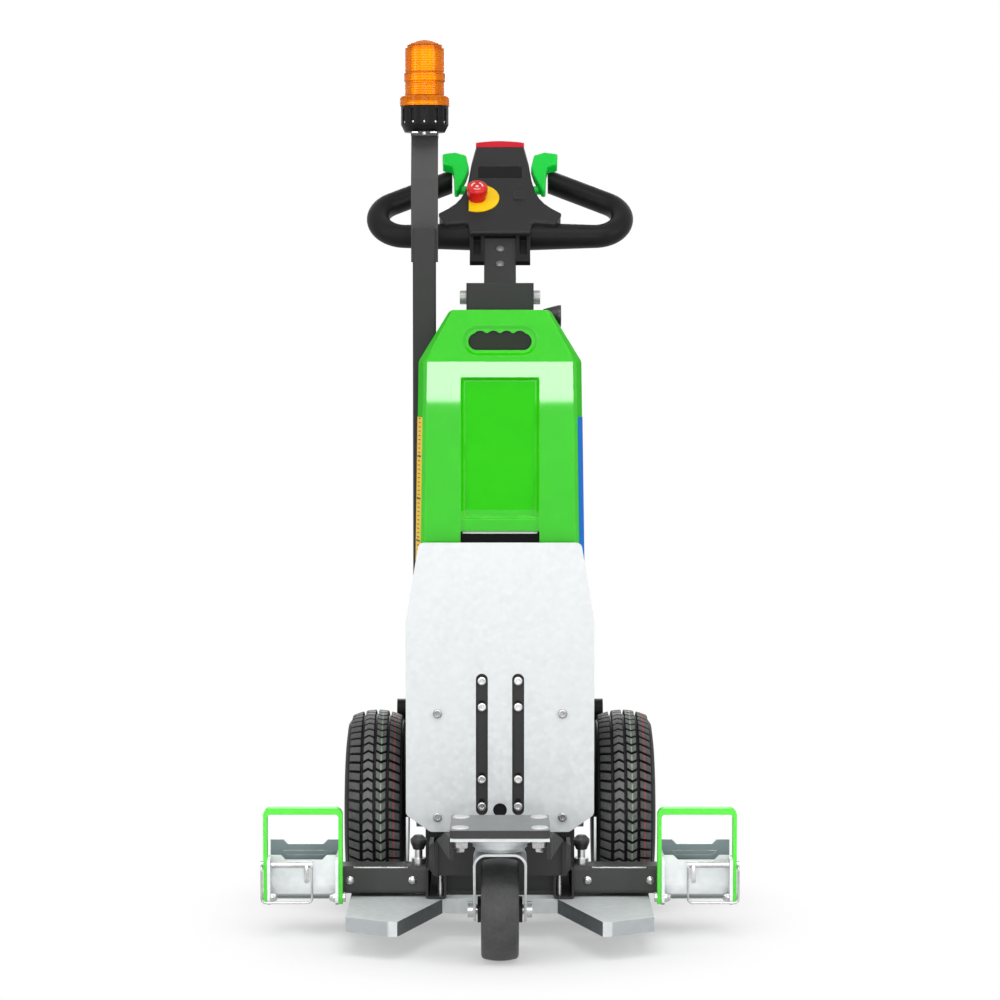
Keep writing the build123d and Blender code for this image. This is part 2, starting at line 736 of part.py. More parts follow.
caster_axis = Axis((0, CASTER_Y, CASTER_R), (1, 0, 0))
caster_plane = axle_plane(0, CASTER_Y, CASTER_R)
with BuildPart() as caster_axle:
    with BuildSketch(caster_plane):
        with Locations((0, CASTER_AXLE_R / 2)):
            Rectangle(2 * FORK_HALF, CASTER_AXLE_R)
        with Locations(*[(sign * (FORK_HALF + AXLE_NUT_T / 2), AXLE_NUT_R / 2) for sign in SIDES]):
            Rectangle(AXLE_NUT_T, AXLE_NUT_R)
    revolve(axis=caster_axis)
save(caster_axle, "caster_axle")

CASTER_HALF = CASTER_W / 2
TREAD_R = CASTER_R - TREAD_CROWN
TREAD_HALF = CASTER_HALF - TREAD_EDGE
with BuildPart() as caster_tread:
    with BuildSketch(caster_plane):
        with BuildLine():
            Polyline(
                (-CASTER_HALF, TREAD_R - TREAD_EDGE),
                (-CASTER_HALF, CASTER_HUB_R),
                (CASTER_HALF, CASTER_HUB_R),
                (CASTER_HALF, TREAD_R - TREAD_EDGE),
            )
            RadiusArc((CASTER_HALF, TREAD_R - TREAD_EDGE), (TREAD_HALF, TREAD_R), -TREAD_EDGE)
            ThreePointArc((TREAD_HALF, TREAD_R), (0, CASTER_R), (-TREAD_HALF, TREAD_R))
            RadiusArc((-TREAD_HALF, TREAD_R), (-CASTER_HALF, TREAD_R - TREAD_EDGE), -TREAD_EDGE)
        make_face()
    revolve(axis=caster_axis)
save(caster_tread, "caster_tread")

with BuildPart() as caster_hub:
    hub_bore = CASTER_AXLE_R + RUN_FIT
    hub_out = CASTER_HUB_R - SEAT_GAP
    with BuildSketch(caster_plane):
        with Locations((0, (hub_bore + hub_out) / 2)):
            Rectangle(CASTER_W - 2 * TREAD_EDGE, hub_out - hub_bore)
        with Locations((0, (hub_bore + HUB_BOSS_R) / 2)):
            Rectangle(FORK_INNER - 2 * HUB_SIDE_GAP, HUB_BOSS_R - hub_bore)
    revolve(axis=caster_axis)
save(caster_hub, "caster_hub")

# Body shell: folded sheet over the drive unit, open below, with round gaps for the axle tubes
with BuildPart() as body_shell:
    with BuildSketch(front_plane(back(SHELL_BACK))):
        with Locations((0, (SHELL_Z0 + SHELL_TOP) / 2)):
            Rectangle(2 * SHELL_HALF, SHELL_TOP - SHELL_Z0)
    extrude(amount=SHELL_BACK + SHELL_FRONT)
    fillet(body_shell.edges().filter_by(Axis.Z).group_by(Axis.Y)[0], SHELL_EDGE_R)
    with BuildSketch(front_plane(back(SHELL_BACK - SHEET_T))):
        with Locations((0, (SHELL_Z0 + SHELL_TOP - SHEET_T) / 2)):
            Rectangle(2 * RAIL_OUTER, SHELL_TOP - SHEET_T - SHELL_Z0)
    extrude(amount=SHELL_BACK + SHELL_FRONT - 2 * SHEET_T, mode=Mode.SUBTRACT)
    # the back stays open for the motor, the front for the rails
    for wall_y, open_top in ((back(SHELL_BACK), COLUMN_Z0), (ahead(SHELL_FRONT - SHEET_T), RAIL_TOP)):
        with BuildSketch(front_plane(wall_y)):
            with Locations((0, (SHELL_Z0 + open_top) / 2)):
                Rectangle(2 * RAIL_OUTER, open_top - SHELL_Z0)
        extrude(amount=SHEET_T, mode=Mode.SUBTRACT)
    with BuildSketch(side_plane(-SHELL_HALF)):
        with Locations((AXLE_Y, AXLE_Z)):
            Circle(AXLE_TUBE_R + AXLE_GAP)
        with Locations((AXLE_Y + SHELL_BACK, AXLE_Z)):
            Rectangle(2 * SHELL_BACK, 2 * (AXLE_TUBE_R + AXLE_GAP))
    extrude(amount=2 * SHELL_HALF, mode=Mode.SUBTRACT)
save(body_shell, "body_shell")

# Coupling bars behind the slots, with their tapped holes, and the spacers of the front plate
PLATE_LOW = RAIL_TOP + PLATE_GAP
PLATE_TOP = SHELL_TOP + PLATE_RISE
SLOT_Z0 = PLATE_LOW + SLOT_RISE
SLOT_Z1 = SLOT_Z0 + SLOT_H
SLOT_Z = (SLOT_Z0 + SLOT_Z1) / 2
BOLT_ROWS = [SLOT_Z0 + rise for rise in LOW_BOLTS] + [SLOT_Z1 - drop for drop in HIGH_BOLTS]
with BuildPart() as slot_bars:
    with BuildSketch(front_plane(ahead(SHELL_FRONT))):
        with Locations(*[(sign * SLOT_X, SLOT_Z) for sign in SIDES]):
            Rectangle(BAR_W, SLOT_H + BAR_W)
        with Locations(*[(sign * SLOT_X, row) for sign in SIDES for row in BOLT_ROWS]):
            Circle(BOLT_HOLE_R, mode=Mode.SUBTRACT)
        with Locations(*[(sign * RAIL_X, PLATE_LOW + rise) for sign in SIDES for rise in SPACER_RISES]):
            Circle(SPACER_R)
    extrude(amount=BAR_T)
save(slot_bars, "slot_bars")

PLATE_SIDE = (
    # half width, height
    (PLATE_LOW_HALF, PLATE_LOW),
    (PLATE_HALF, PLATE_LOW + PLATE_CHAMFER_H),
    (PLATE_HALF, PLATE_TOP - PLATE_TAPER_H),
    (PLATE_TOP_HALF, PLATE_TOP),
)
with BuildPart() as front_plate:
    with BuildSketch(front_plane(ahead(SHELL_FRONT + BAR_T))):
        with BuildLine():
            Polyline(*PLATE_SIDE, *[(-x, z) for x, z in reversed(PLATE_SIDE)], close=True)
        outline = make_face()
        fillet(outline.vertices(), PLATE_CORNER_R)
        with Locations(*[(sign * SLOT_X, SLOT_Z) for sign in SIDES]):
            SlotOverall(SLOT_H, SLOT_W, rotation=90, mode=Mode.SUBTRACT)
        with Locations((0, PLATE_LOW + CABLE_HOLE_RISE)):
            Circle(CABLE_HOLE_R, mode=Mode.SUBTRACT)
    extrude(amount=SHEET_T)
save(front_plate, "front_plate")

# Battery case: tapered front, sloping brow with a dished hand grip, a sunk panel, open below
CASE_FRONT = SHELL_FRONT - CASE_SETBACK
CASE_BACK = SHELL_BACK - CASE_BACK_GAP
CASE_FRONT_Y = ahead(CASE_FRONT)
GRIP_Z = CASE_TOP - GRIP_DROP
PANEL_TOP = CASE_SHOULDER_Z - PANEL_DROP
HOLLOW_D = CASE_FRONT - LATCH_DEPTH + CASE_BACK - 2 * CASE_WALL
HOLLOW_H = PANEL_TOP - SHELL_TOP
BATTERY_Y = back(CASE_BACK - CASE_WALL - HOLLOW_D / 2)
CASE_SECTIONS = (
    # reach ahead, how much wider than at the front
    (CASE_FRONT, -CASE_FACE_EDGE),
    (CASE_FRONT - CASE_FACE_EDGE, 0.0),
    (CASE_FRONT - CASE_TAPER, CASE_FLARE),
)
BROW = Plane(
    origin=(0, CASE_FRONT_Y, CASE_SHOULDER_Z), x_dir=(-1, 0, 0), z_dir=(0, CASE_BROW_H, -CASE_BROW)
)
BROW_SLOPE = hypot(CASE_BROW_H, CASE_BROW) / CASE_BROW_H
DISH_EDGE = DISH_LAND + DISH_DEPTH * tan(radians(DISH_SLOPE))
with BuildPart() as battery_case:
    for reach, grow in CASE_SECTIONS:
        with BuildSketch(front_plane(ahead(reach))) as section:
            with BuildLine():
                Polyline(
                    (-CASE_LOW_HALF - grow, SHELL_TOP),
                    (CASE_LOW_HALF + grow, SHELL_TOP),
                    (CASE_SHOULDER_HALF + grow, CASE_SHOULDER_Z),
                    (CASE_TOP_HALF + grow, CASE_TOP),
                    (-CASE_TOP_HALF - grow, CASE_TOP),
                    (-CASE_SHOULDER_HALF - grow, CASE_SHOULDER_Z),
                    close=True,
                )
            make_face()
            fillet(section.vertices().sort_by(Axis.Y)[2:], CASE_EDGE_R)
    loft(ruled=True)
    extrude(battery_case.faces().sort_by(Axis.Y)[-1], amount=CASE_FRONT - CASE_TAPER + CASE_BACK)
    # the brow above the shoulders leans back
    with BuildSketch(side_plane(-CASE_LOW_HALF)):
        with BuildLine():
            Polyline(
                (CASE_FRONT_Y, CASE_SHOULDER_Z),
                (CASE_FRONT_Y + CASE_BROW, CASE_TOP),
                (CASE_FRONT_Y, CASE_TOP),
                close=True,
            )
        make_face()
    extrude(amount=2 * CASE_LOW_HALF, mode=Mode.SUBTRACT)
    # hand grip: a shallow dish in the brow, and in it an opening with room for four fingers
    with BuildSketch(BROW):
        with Locations((0, (GRIP_Z - CASE_SHOULDER_Z) * BROW_SLOPE)):
            SlotOverall(GRIP_W + 2 * DISH_EDGE, GRIP_H + 2 * DISH_EDGE)
    extrude(amount=DISH_DEPTH, taper=DISH_SLOPE, mode=Mode.SUBTRACT)
    with BuildSketch(front_plane(CASE_FRONT_Y + GRIP_DEPTH)):
        with Locations((0, GRIP_Z - FINGER_RISE / 2)):
            SlotOverall(GRIP_W, GRIP_H - FINGER_RISE)
        with Locations((0, GRIP_Z + GRIP_H / 2 - FINGER_R)):
            with GridLocations(FINGER_PITCH, 0, FINGERS, 1):
                Circle(FINGER_R)
    extrude(amount=GRIP_DEPTH, mode=Mode.SUBTRACT)
    # sunk panel with sloping sides, and the latch slot at the foot
    with BuildSketch(Plane(origin=(0, CASE_FRONT_Y, 0), x_dir=(-1, 0, 0), z_dir=(0, 1, 0))):
        with Locations((0, PANEL_TOP - PANEL_H / 2)):
            RectangleRounded(PANEL_W, PANEL_H, PANEL_CORNER_R)
    extrude(amount=PANEL_DEPTH, taper=PANEL_SLOPE, mode=Mode.SUBTRACT)
    # the panel's floor leans, deeper at its foot
    panel_low = PANEL_TOP - PANEL_H
    floor_y = CASE_FRONT_Y + PANEL_DEPTH
    with BuildSketch(side_plane(PANEL_TILT_INSET - PANEL_W / 2)):
        with BuildLine():
            Polyline(
                (floor_y, PANEL_TOP - PANEL_TILT_INSET),
                (floor_y + PANEL_TILT, panel_low + PANEL_TILT_INSET),
                (floor_y, panel_low + PANEL_TILT_INSET),
                close=True,
            )
        make_face()
    extrude(amount=PANEL_W - 2 * PANEL_TILT_INSET, mode=Mode.SUBTRACT)
    # below it a shallow foot runs down to the latch slot
    foot_h = panel_low + FOOT_OVERLAP - SHELL_TOP
    with BuildSketch(front_plane(CASE_FRONT_Y + FOOT_DEPTH)):
        with Locations((0, SHELL_TOP + foot_h / 2)):
            Rectangle(PANEL_W - 2 * FOOT_INSET, foot_h)
    extrude(amount=FOOT_DEPTH, mode=Mode.SUBTRACT)
    with BuildSketch(front_plane(CASE_FRONT_Y + LATCH_DEPTH)):
        with Locations((0, SHELL_TOP + LATCH_H / 2)):
            Rectangle(PANEL_W, LATCH_H)
    extrude(amount=LATCH_DEPTH, mode=Mode.SUBTRACT)
    # the hollow that takes the battery
    with BuildSketch(Plane.XY.offset(SHELL_TOP)):
        with Locations((0, BATTERY_Y)):
            Rectangle(2 * (CASE_SHOULDER_HALF - CASE_WALL), HOLLOW_D)
    extrude(amount=HOLLOW_H, mode=Mode.SUBTRACT)
save(battery_case, "battery_case")

with BuildPart() as battery_block:
    with BuildSketch(Plane.XY.offset(SHELL_TOP)):
        with Locations((0, BATTERY_Y)):
            Rectangle(
                2 * (CASE_SHOULDER_HALF - CASE_WALL - BATTERY_SIDE_GAP), HOLLOW_D - 2 * BATTERY_END_GAP
            )
    extrude(amount=HOLLOW_H - BATTERY_TOP_GAP)
save(battery_block, "battery_block")

# Column: a square tube on the back of the shell, open at the back of its top for the tiller
COLUMN_BACK = back(SHELL_BACK + COLUMN_D)
YOKE_OPEN_Z = PIVOT_Z - YOKE_OPEN
YOKE_W = COLUMN_W - 2 * YOKE_WALL
with BuildPart() as column:
    with BuildSketch(Plane.XY.offset(COLUMN_Z0)):
        with Locations((0, PIVOT_Y)):
            RectangleRounded(COLUMN_W, COLUMN_D, COLUMN_WALL)
            Rectangle(YOKE_W, COLUMN_D - 2 * COLUMN_WALL, mode=Mode.SUBTRACT)
    extrude(amount=YOKE_TOP - COLUMN_Z0)
    with BuildSketch(front_plane(COLUMN_BACK)):
        with Locations((0, (YOKE_OPEN_Z + YOKE_TOP) / 2)):
            Rectangle(YOKE_W, YOKE_TOP - YOKE_OPEN_Z)
    extrude(amount=2 * COLUMN_WALL, mode=Mode.SUBTRACT)
    with BuildSketch(side_plane(-COLUMN_W / 2)):
        with Locations((PIVOT_Y, PIVOT_Z)):
            Circle(PIVOT_R + RUN_FIT)
    extrude(amount=COLUMN_W, mode=Mode.SUBTRACT)
save(column, "column")

with BuildPart() as tilt_bolt:
    with BuildSketch(axle_plane(0, PIVOT_Y, PIVOT_Z)):
        with Locations((0, PIVOT_R / 2)):
            Rectangle(COLUMN_W, PIVOT_R)
        with Locations(*[(sign * (COLUMN_W + PIVOT_HEAD_T) / 2, PIVOT_HEAD_R / 2) for sign in SIDES]):
            Rectangle(PIVOT_HEAD_T, PIVOT_HEAD_R)
    revolve(axis=Axis((0, PIVOT_Y, PIVOT_Z), (1, 0, 0)))
save(tilt_bolt, "tilt_bolt")

with BuildPart() as tilt_plunger:
    plunger_z = PIVOT_Z - PLUNGER_DROP
    knob_end = PLUNGER_L + KNOB_L
    with BuildSketch(axle_plane(COLUMN_W / 2, PIVOT_Y, plunger_z)):
        with BuildLine():
            Polyline(
                (0, 0),
                (0, PLUNGER_R),
                (PLUNGER_L, PLUNGER_R),
                (PLUNGER_L, KNOB_R0),
                (knob_end - KNOB_RIM, KNOB_R1),
                (knob_end, KNOB_R1),
                (knob_end, 0),
                close=True,
            )
        make_face()
    revolve(axis=Axis((0, PIVOT_Y, plunger_z), (1, 0, 0)))
save(tilt_plunger, "tilt_plunger")

# Rear bar behind the wheels, with its end caps, and the cover over the controller above it
BAR_REACH = TYRE_R + REAR_BAR_R + REAR_BAR_CLEAR
BAR_Y = back(BAR_REACH * cos(radians(REAR_BAR_ANGLE)))
BAR_Z = AXLE_Z + BAR_REACH * sin(radians(REAR_BAR_ANGLE))
TUBE_HALF = REAR_BAR_HALF - REAR_BAR_CAP
with BuildPart() as rear_bar:
    with BuildSketch(side_plane(-TUBE_HALF)):
        with Locations((BAR_Y, BAR_Z)):
            Circle(REAR_BAR_R)
    extrude(amount=2 * TUBE_HALF)
    with BuildSketch(front_plane(BAR_Y)):
        with Locations((0, BAR_Z)):
            Rectangle(REAR_BAR_BLOCK_W, 2 * REAR_BAR_R)
    extrude(amount=BAR_Y - COLUMN_BACK)
save(rear_bar, "rear_bar")

with BuildPart() as rear_bar_caps:
    for start in (-REAR_BAR_HALF, TUBE_HALF):
        with BuildSketch(side_plane(start)):
            with Locations((BAR_Y, BAR_Z)):
                Circle(REAR_BAR_R)
        extrude(amount=REAR_BAR_CAP)
save(rear_bar_caps, "rear_bar_caps")

COVER_Z0 = BAR_Z + REAR_BAR_R + COVER_GAP
with BuildPart() as rear_cover:
    with BuildSketch(Plane.XY.offset(COVER_Z0)):
        with Locations((0, COLUMN_BACK + COVER_D / 2)):
            Rectangle(COVER_W, COVER_D)
    extrude(amount=COVER_H)
    chamfer(rear_cover.edges().filter_by(Axis.X).group_by(Axis.Z)[-1].sort_by(Axis.Y)[-1], COVER_BEVEL)
    fillet(rear_cover.edges().filter_by(Axis.Z).group_by(Axis.Y)[-1], COVER_EDGE_R)
    with BuildSketch(Plane.XY.offset(COVER_Z0 + COVER_WALL)):
        with Locations((0, COLUMN_BACK + (COVER_D - COVER_EDGE_R) / 2)):
            Rectangle(COVER_W - 2 * COVER_WALL, COVER_D - COVER_EDGE_R)
    extrude(amount=COVER_H - 2 * COVER_WALL, mode=Mode.SUBTRACT)
save(rear_cover, "rear_cover")

# Beacon post with its ties to the column, the bent strap above it and the beacon
POST_FRONT = back(SHELL_BACK)
POST_BACK = POST_FRONT + POST_D
POST_Z0 = COLUMN_Z0 + POST_LOW
POST_TOP = YOKE_TOP + POST_RISE
with BuildPart() as beacon_post:
    with BuildSketch(Plane.XY.offset(POST_Z0)):
        with Locations((POST_X, POST_FRONT + POST_D / 2)):
            RectangleRounded(POST_W, POST_D, POST_EDGE_R)
    extrude(amount=POST_TOP - POST_Z0)
    tie_x0 = POST_X + POST_W / 2
    tie_x1 = -COLUMN_W / 2
    for tie_rise in POST_TIES:
        with BuildSketch(Plane.XY.offset(POST_Z0 + tie_rise)):
            with Locations(((tie_x0 + tie_x1) / 2, POST_FRONT + POST_D / 2)):
                Rectangle(tie_x1 - tie_x0, POST_TIE_D)
        extrude(amount=POST_TIE_H)
save(beacon_post, "beacon_post")

STRAP_Z0 = POST_TOP - STRAP_LAP
STRAP_BEND_Z = POST_TOP + STRAP_STAND
STRAP_TOP = STRAP_BEND_Z + STRAP_SLANT_H
STRAP_SHIFT = STRAP_SLANT_H * tan(radians(STRAP_LEAN))
BEACON_Y = POST_BACK + STRAP_T / 2 + STRAP_SHIFT
with BuildPart() as beacon_strap:
    with BuildSketch(side_plane(POST_X - STRAP_W / 2)):
        with BuildLine():
            Polyline(
                (POST_BACK, STRAP_Z0),
                (POST_BACK + STRAP_T, STRAP_Z0),
                (POST_BACK + STRAP_T, STRAP_BEND_Z),
                (POST_BACK + STRAP_T + STRAP_SHIFT, STRAP_TOP),
                (POST_BACK + STRAP_SHIFT, STRAP_TOP),
                (POST_BACK, STRAP_BEND_Z),
                close=True,
            )
        make_face()
    extrude(amount=STRAP_W)
    with BuildSketch(Plane.XY.offset(STRAP_TOP)):
        with Locations((POST_X, BEACON_Y)):
            RectangleRounded(STRAP_W, STRAP_SHELF_D, STRAP_T)
    extrude(amount=-STRAP_T)
save(beacon_strap, "beacon_strap")

BASE_TOP = STRAP_TOP + BEACON_H
LENS_TOP = BASE_TOP + LENS_H
FOOT_TOP = STRAP_TOP + BEACON_FOOT_H
beacon_axis = Axis((POST_X, BEACON_Y, 0), (0, 0, 1))
beacon_plane = Plane(origin=(POST_X, BEACON_Y, 0), x_dir=(1, 0, 0), z_dir=(0, -1, 0))
with BuildPart() as beacon_base:
    with BuildSketch(beacon_plane):
        with BuildLine():
            Polyline(
                (0, STRAP_TOP),
                (BEACON_FOOT_R, STRAP_TOP),
                (BEACON_R, FOOT_TOP),
                (BEACON_R, BASE_TOP),
                (0, BASE_TOP),
                close=True,
            )
        make_face()
    revolve(axis=beacon_axis)
    with BuildSketch(Plane.XY.offset(FOOT_TOP)):
        with Locations((POST_X, BEACON_Y)):
            with PolarLocations(BEACON_R, BEACON_SLOTS):
                Rectangle(2 * BEACON_SLOT_DEPTH, BEACON_SLOT_W)
    extrude(amount=BASE_TOP - BEACON_SLOT_EDGE - FOOT_TOP, mode=Mode.SUBTRACT)
save(beacon_base, "beacon_base")

# Lens: flange, plain barrel with a raised band, a stepped rim and a shallow dome with a flat top
FLANGE_TOP = BASE_TOP + LENS_FLANGE_H
ROUND_Z = FLANGE_TOP - LENS_FLANGE_ROUND
BAND_Z = BASE_TOP + LENS_BAND_RISE
RIM_Z = LENS_TOP - LENS_STEP_H
DOME_Z = LENS_TOP - LENS_DOME_H
DOME_R = LENS_R - LENS_STEP
DOME_MID_R = (DOME_R + LENS_FLAT_R) / 2
DOME_MID_Z = LENS_TOP - LENS_DOME_H * (DOME_MID_R / DOME_R) ** 2
with BuildPart() as beacon_lens:
    with BuildSketch(beacon_plane):
        with BuildLine():
            Polyline((0, BASE_TOP), (LENS_FLANGE_R, BASE_TOP), (LENS_FLANGE_R, ROUND_Z))
            RadiusArc(
                (LENS_FLANGE_R, ROUND_Z), (LENS_FLANGE_R - LENS_FLANGE_ROUND, FLANGE_TOP), -LENS_FLANGE_ROUND
            )
            Polyline(
                (LENS_FLANGE_R - LENS_FLANGE_ROUND, FLANGE_TOP),
                (LENS_R, FLANGE_TOP),
                (LENS_R, BAND_Z),
                (LENS_R + LENS_BAND, BAND_Z + LENS_BAND),
                (LENS_R + LENS_BAND, BAND_Z + LENS_BAND_H - LENS_BAND),
                (LENS_R, BAND_Z + LENS_BAND_H),
                (LENS_R, RIM_Z),
                (DOME_R, RIM_Z),
                (DOME_R, DOME_Z),
            )
            ThreePointArc((DOME_R, DOME_Z), (DOME_MID_R, DOME_MID_Z), (LENS_FLAT_R, LENS_TOP))
            Polyline((LENS_FLAT_R, LENS_TOP), (0, LENS_TOP), (0, BASE_TOP))
        make_face()
    revolve(axis=beacon_axis)
save(beacon_lens, "beacon_lens")

# Cross arms from the rails to the pockets, with the plunger knobs that lock them
ARM_Y = ahead(RAIL_FRONT - ARM_SETBACK - ARM_D / 2)
ARM_Z0 = RAIL_Z0 + ARM_LIFT
ARM_TOP = ARM_Z0 + ARM_H
with BuildPart() as arms:
    for start in (-POCKET_X0, RAIL_OUTER):
        with BuildSketch(side_plane(start)):
            with Locations((ARM_Y, ARM_Z0 + ARM_H / 2)):
                RectangleRounded(ARM_D, ARM_H, ARM_EDGE_R)
                RectangleRounded(
                    ARM_D - 2 * ARM_WALL, ARM_H - 2 * ARM_WALL, ARM_EDGE_R - ARM_WALL, mode=Mode.SUBTRACT
                )
        extrude(amount=ARM_L)
save(arms, "arms")

LOCK_X = RAIL_OUTER + LOCK_COLLAR_R + LOCK_GAP
STEM_Z = ARM_TOP + LOCK_COLLAR_H
KNOB_Z = STEM_Z + LOCK_STEM_H
KNOB_TOP = KNOB_Z + LOCK_KNOB_H
LOCK_SIDE = (
    # radius, height
    (0, ARM_TOP),
    (LOCK_COLLAR_R, ARM_TOP),
    (LOCK_COLLAR_R, STEM_Z),
    (LOCK_STEM_R, STEM_Z),
    (LOCK_STEM_R, KNOB_Z),
    (LOCK_WAIST_R, KNOB_Z),
    (LOCK_KNOB_R, KNOB_Z + LOCK_KNOB_H / 2),
    (LOCK_KNOB_R, KNOB_TOP - LOCK_KNOB_EDGE),
    (LOCK_KNOB_R - LOCK_KNOB_EDGE, KNOB_TOP),
    (0, KNOB_TOP),
)
with BuildPart() as arm_locks:
    for sign in SIDES:
        lock_x = sign * LOCK_X
        with BuildSketch(front_plane(ARM_Y)):
            with BuildLine():
                Polyline(*[(lock_x + radius, z) for radius, z in LOCK_SIDE], close=True)
            make_face()
        revolve(axis=Axis((lock_x, ARM_Y, 0), (0, 0, 1)))
save(arm_locks, "arm_locks")

# Castor pockets: a bent trough with an end plate at the arm and two ears for the bail
POCKET_FRONT = RAIL_FRONT - POCKET_SETBACK
POCKET_Z0 = RAIL_Z0 - POCKET_DROP
POCKET_FRONT_Z = POCKET_Z0 + POCKET_FRONT_H
POCKET_BACK_Z = POCKET_Z0 + POCKET_BACK_H
POCKET_OUT = POCKET_GAP + 2 * POCKET_T
POCKET_MID = ahead(POCKET_FRONT - POCKET_OUT / 2)
TROUGH_R = POCKET_GAP / 2
TROUGH_Z = POCKET_Z0 + TROUGH_R + POCKET_T
EAR_Y = ahead(POCKET_FRONT + EAR_REACH / 2)
BAIL_Z0 = POCKET_Z0 - BAIL_DROP
BAIL_BOLT_Z = BAIL_Z0 + BAIL_BOLT_RISE
EAR_TOP = BAIL_Z0 + EAR_H
PIN_Z = EAR_TOP - PIN_DROP
with BuildPart() as pockets:
    for sign in SIDES:
        start = min(sign * POCKET_X0, sign * POCKET_X1)
        with BuildSketch(side_plane(start)):
            for radius, way in ((TROUGH_R + POCKET_T, Mode.ADD), (TROUGH_R, Mode.SUBTRACT)):
                with Locations((POCKET_MID, TROUGH_Z)):
                    Circle(radius, mode=way)
                with Locations((POCKET_MID, (TROUGH_Z + POCKET_BACK_Z) / 2)):
                    Rectangle(2 * radius, POCKET_BACK_Z - TROUGH_Z, mode=way)
            with Locations((ahead(POCKET_FRONT - POCKET_T / 2), (POCKET_FRONT_Z + POCKET_BACK_Z) / 2)):
                Rectangle(POCKET_T, POCKET_BACK_Z - POCKET_FRONT_Z, mode=Mode.SUBTRACT)
        extrude(amount=POCKET_W)
        # end plate at the arm
        end_x = POCKET_X0 if sign > 0 else -POCKET_X0 - POCKET_T
        with BuildSketch(side_plane(end_x)):
            with Locations((POCKET_MID, TROUGH_Z)):
                Circle(TROUGH_R + POCKET_T / 2)
            with Locations((POCKET_MID, (TROUGH_Z + POCKET_FRONT_Z) / 2)):
                Rectangle(POCKET_GAP + POCKET_T, POCKET_FRONT_Z - TROUGH_Z)
        extrude(amount=POCKET_T)
        # ears in front, drilled for the bail's bolts and the lock pin
        for ear_x in (start, start + POCKET_W - POCKET_T):
            with BuildSketch(side_plane(ear_x)) as ear:
                with Locations((EAR_Y, (BAIL_Z0 + EAR_TOP) / 2)):
                    Rectangle(EAR_REACH, EAR_H)
                fillet(ear.vertices().group_by(Axis.X)[0], EAR_R)
                with Locations((EAR_Y, BAIL_BOLT_Z)):
                    Circle(BAIL_BOLT_R + RUN_FIT, mode=Mode.SUBTRACT)
                with Locations((EAR_Y, PIN_Z)):
                    Circle(PIN_R + PIN_HOLE_GAP, mode=Mode.SUBTRACT)
            extrude(amount=POCKET_T)
        # shallow notches with sloping ends in both top edges
        with BuildSketch(front_plane(ahead(POCKET_FRONT - POCKET_OUT))):
            for edge_z in (POCKET_FRONT_Z, POCKET_BACK_Z):
                notch_mid = start + POCKET_W / 2
                with BuildLine():
                    Polyline(
                        (notch_mid - POCKET_NOTCH_W / 2 - POCKET_NOTCH_D, edge_z),
                        (notch_mid - POCKET_NOTCH_W / 2, edge_z - POCKET_NOTCH_D),
                        (notch_mid + POCKET_NOTCH_W / 2, edge_z - POCKET_NOTCH_D),
                        (notch_mid + POCKET_NOTCH_W / 2 + POCKET_NOTCH_D, edge_z),
                        close=True,
                    )
                make_face()
        extrude(amount=POCKET_OUT, mode=Mode.SUBTRACT)
save(pockets, "pockets")

# Bails: flat bar bent to a gate over each pocket, with its bolts
BAIL_TOP = BAIL_Z0 + BAIL_H
BAIL_BENDS = (
    # half width, top, bend radius, add or cut
    (POCKET_W / 2 + BAIL_T, BAIL_TOP, BAIL_BEND_R, Mode.ADD),
    (POCKET_W / 2, BAIL_TOP - BAIL_BAR_H, BAIL_BEND_R - BAIL_T, Mode.SUBTRACT),
)
with BuildPart() as bails:
    for sign in SIDES:
        mid_x = sign * (POCKET_X0 + POCKET_X1) / 2
        with BuildSketch(front_plane(EAR_Y + BAIL_D / 2)):
            for half, top, bend, way in BAIL_BENDS:
                with BuildLine():
                    FilletPolyline(
                        (mid_x - half, BAIL_Z0),
                        (mid_x - half, top),
                        (mid_x + half, top),
                        (mid_x + half, BAIL_Z0),
                        radius=bend,
                    )
                    Line((mid_x + half, BAIL_Z0), (mid_x - half, BAIL_Z0))
                make_face(mode=way)
        extrude(amount=BAIL_D)
        for arm_x in (mid_x - POCKET_W / 2 - BAIL_T, mid_x + POCKET_W / 2):
            with BuildSketch(side_plane(arm_x)):
                with Locations((EAR_Y, BAIL_BOLT_Z)):
                    Circle(BAIL_BOLT_R + RUN_FIT)
                with Locations((EAR_Y, PIN_Z)):
                    Circle(PIN_R + PIN_HOLE_GAP)
            extrude(amount=BAIL_T, mode=Mode.SUBTRACT)
    fillet(bails.edges().filter_by(Axis.X).group_by(Axis.Z)[0], BAIL_FOOT_R)
save(bails, "bails")

with BuildPart() as bail_bolts:
    for sign in SIDES:
        for head_x, way in ((sign * POCKET_X1, sign), (sign * POCKET_X0, -sign)):
            bolt_start = min(head_x + way * BAIL_T, head_x - way * POCKET_T)
            cap_start = min(head_x + way * BAIL_T, head_x + way * (BAIL_T + BAIL_HEAD_T))
            for begin, radius, length in (
                (bolt_start, BAIL_BOLT_R, BAIL_T + POCKET_T),
                (cap_start, BAIL_HEAD_R, BAIL_HEAD_T),
            ):
                with BuildSketch(side_plane(begin)):
                    with Locations((EAR_Y, BAIL_BOLT_Z)):
                        Circle(radius)
                extrude(amount=length)
save(bail_bolts, "bail_bolts")

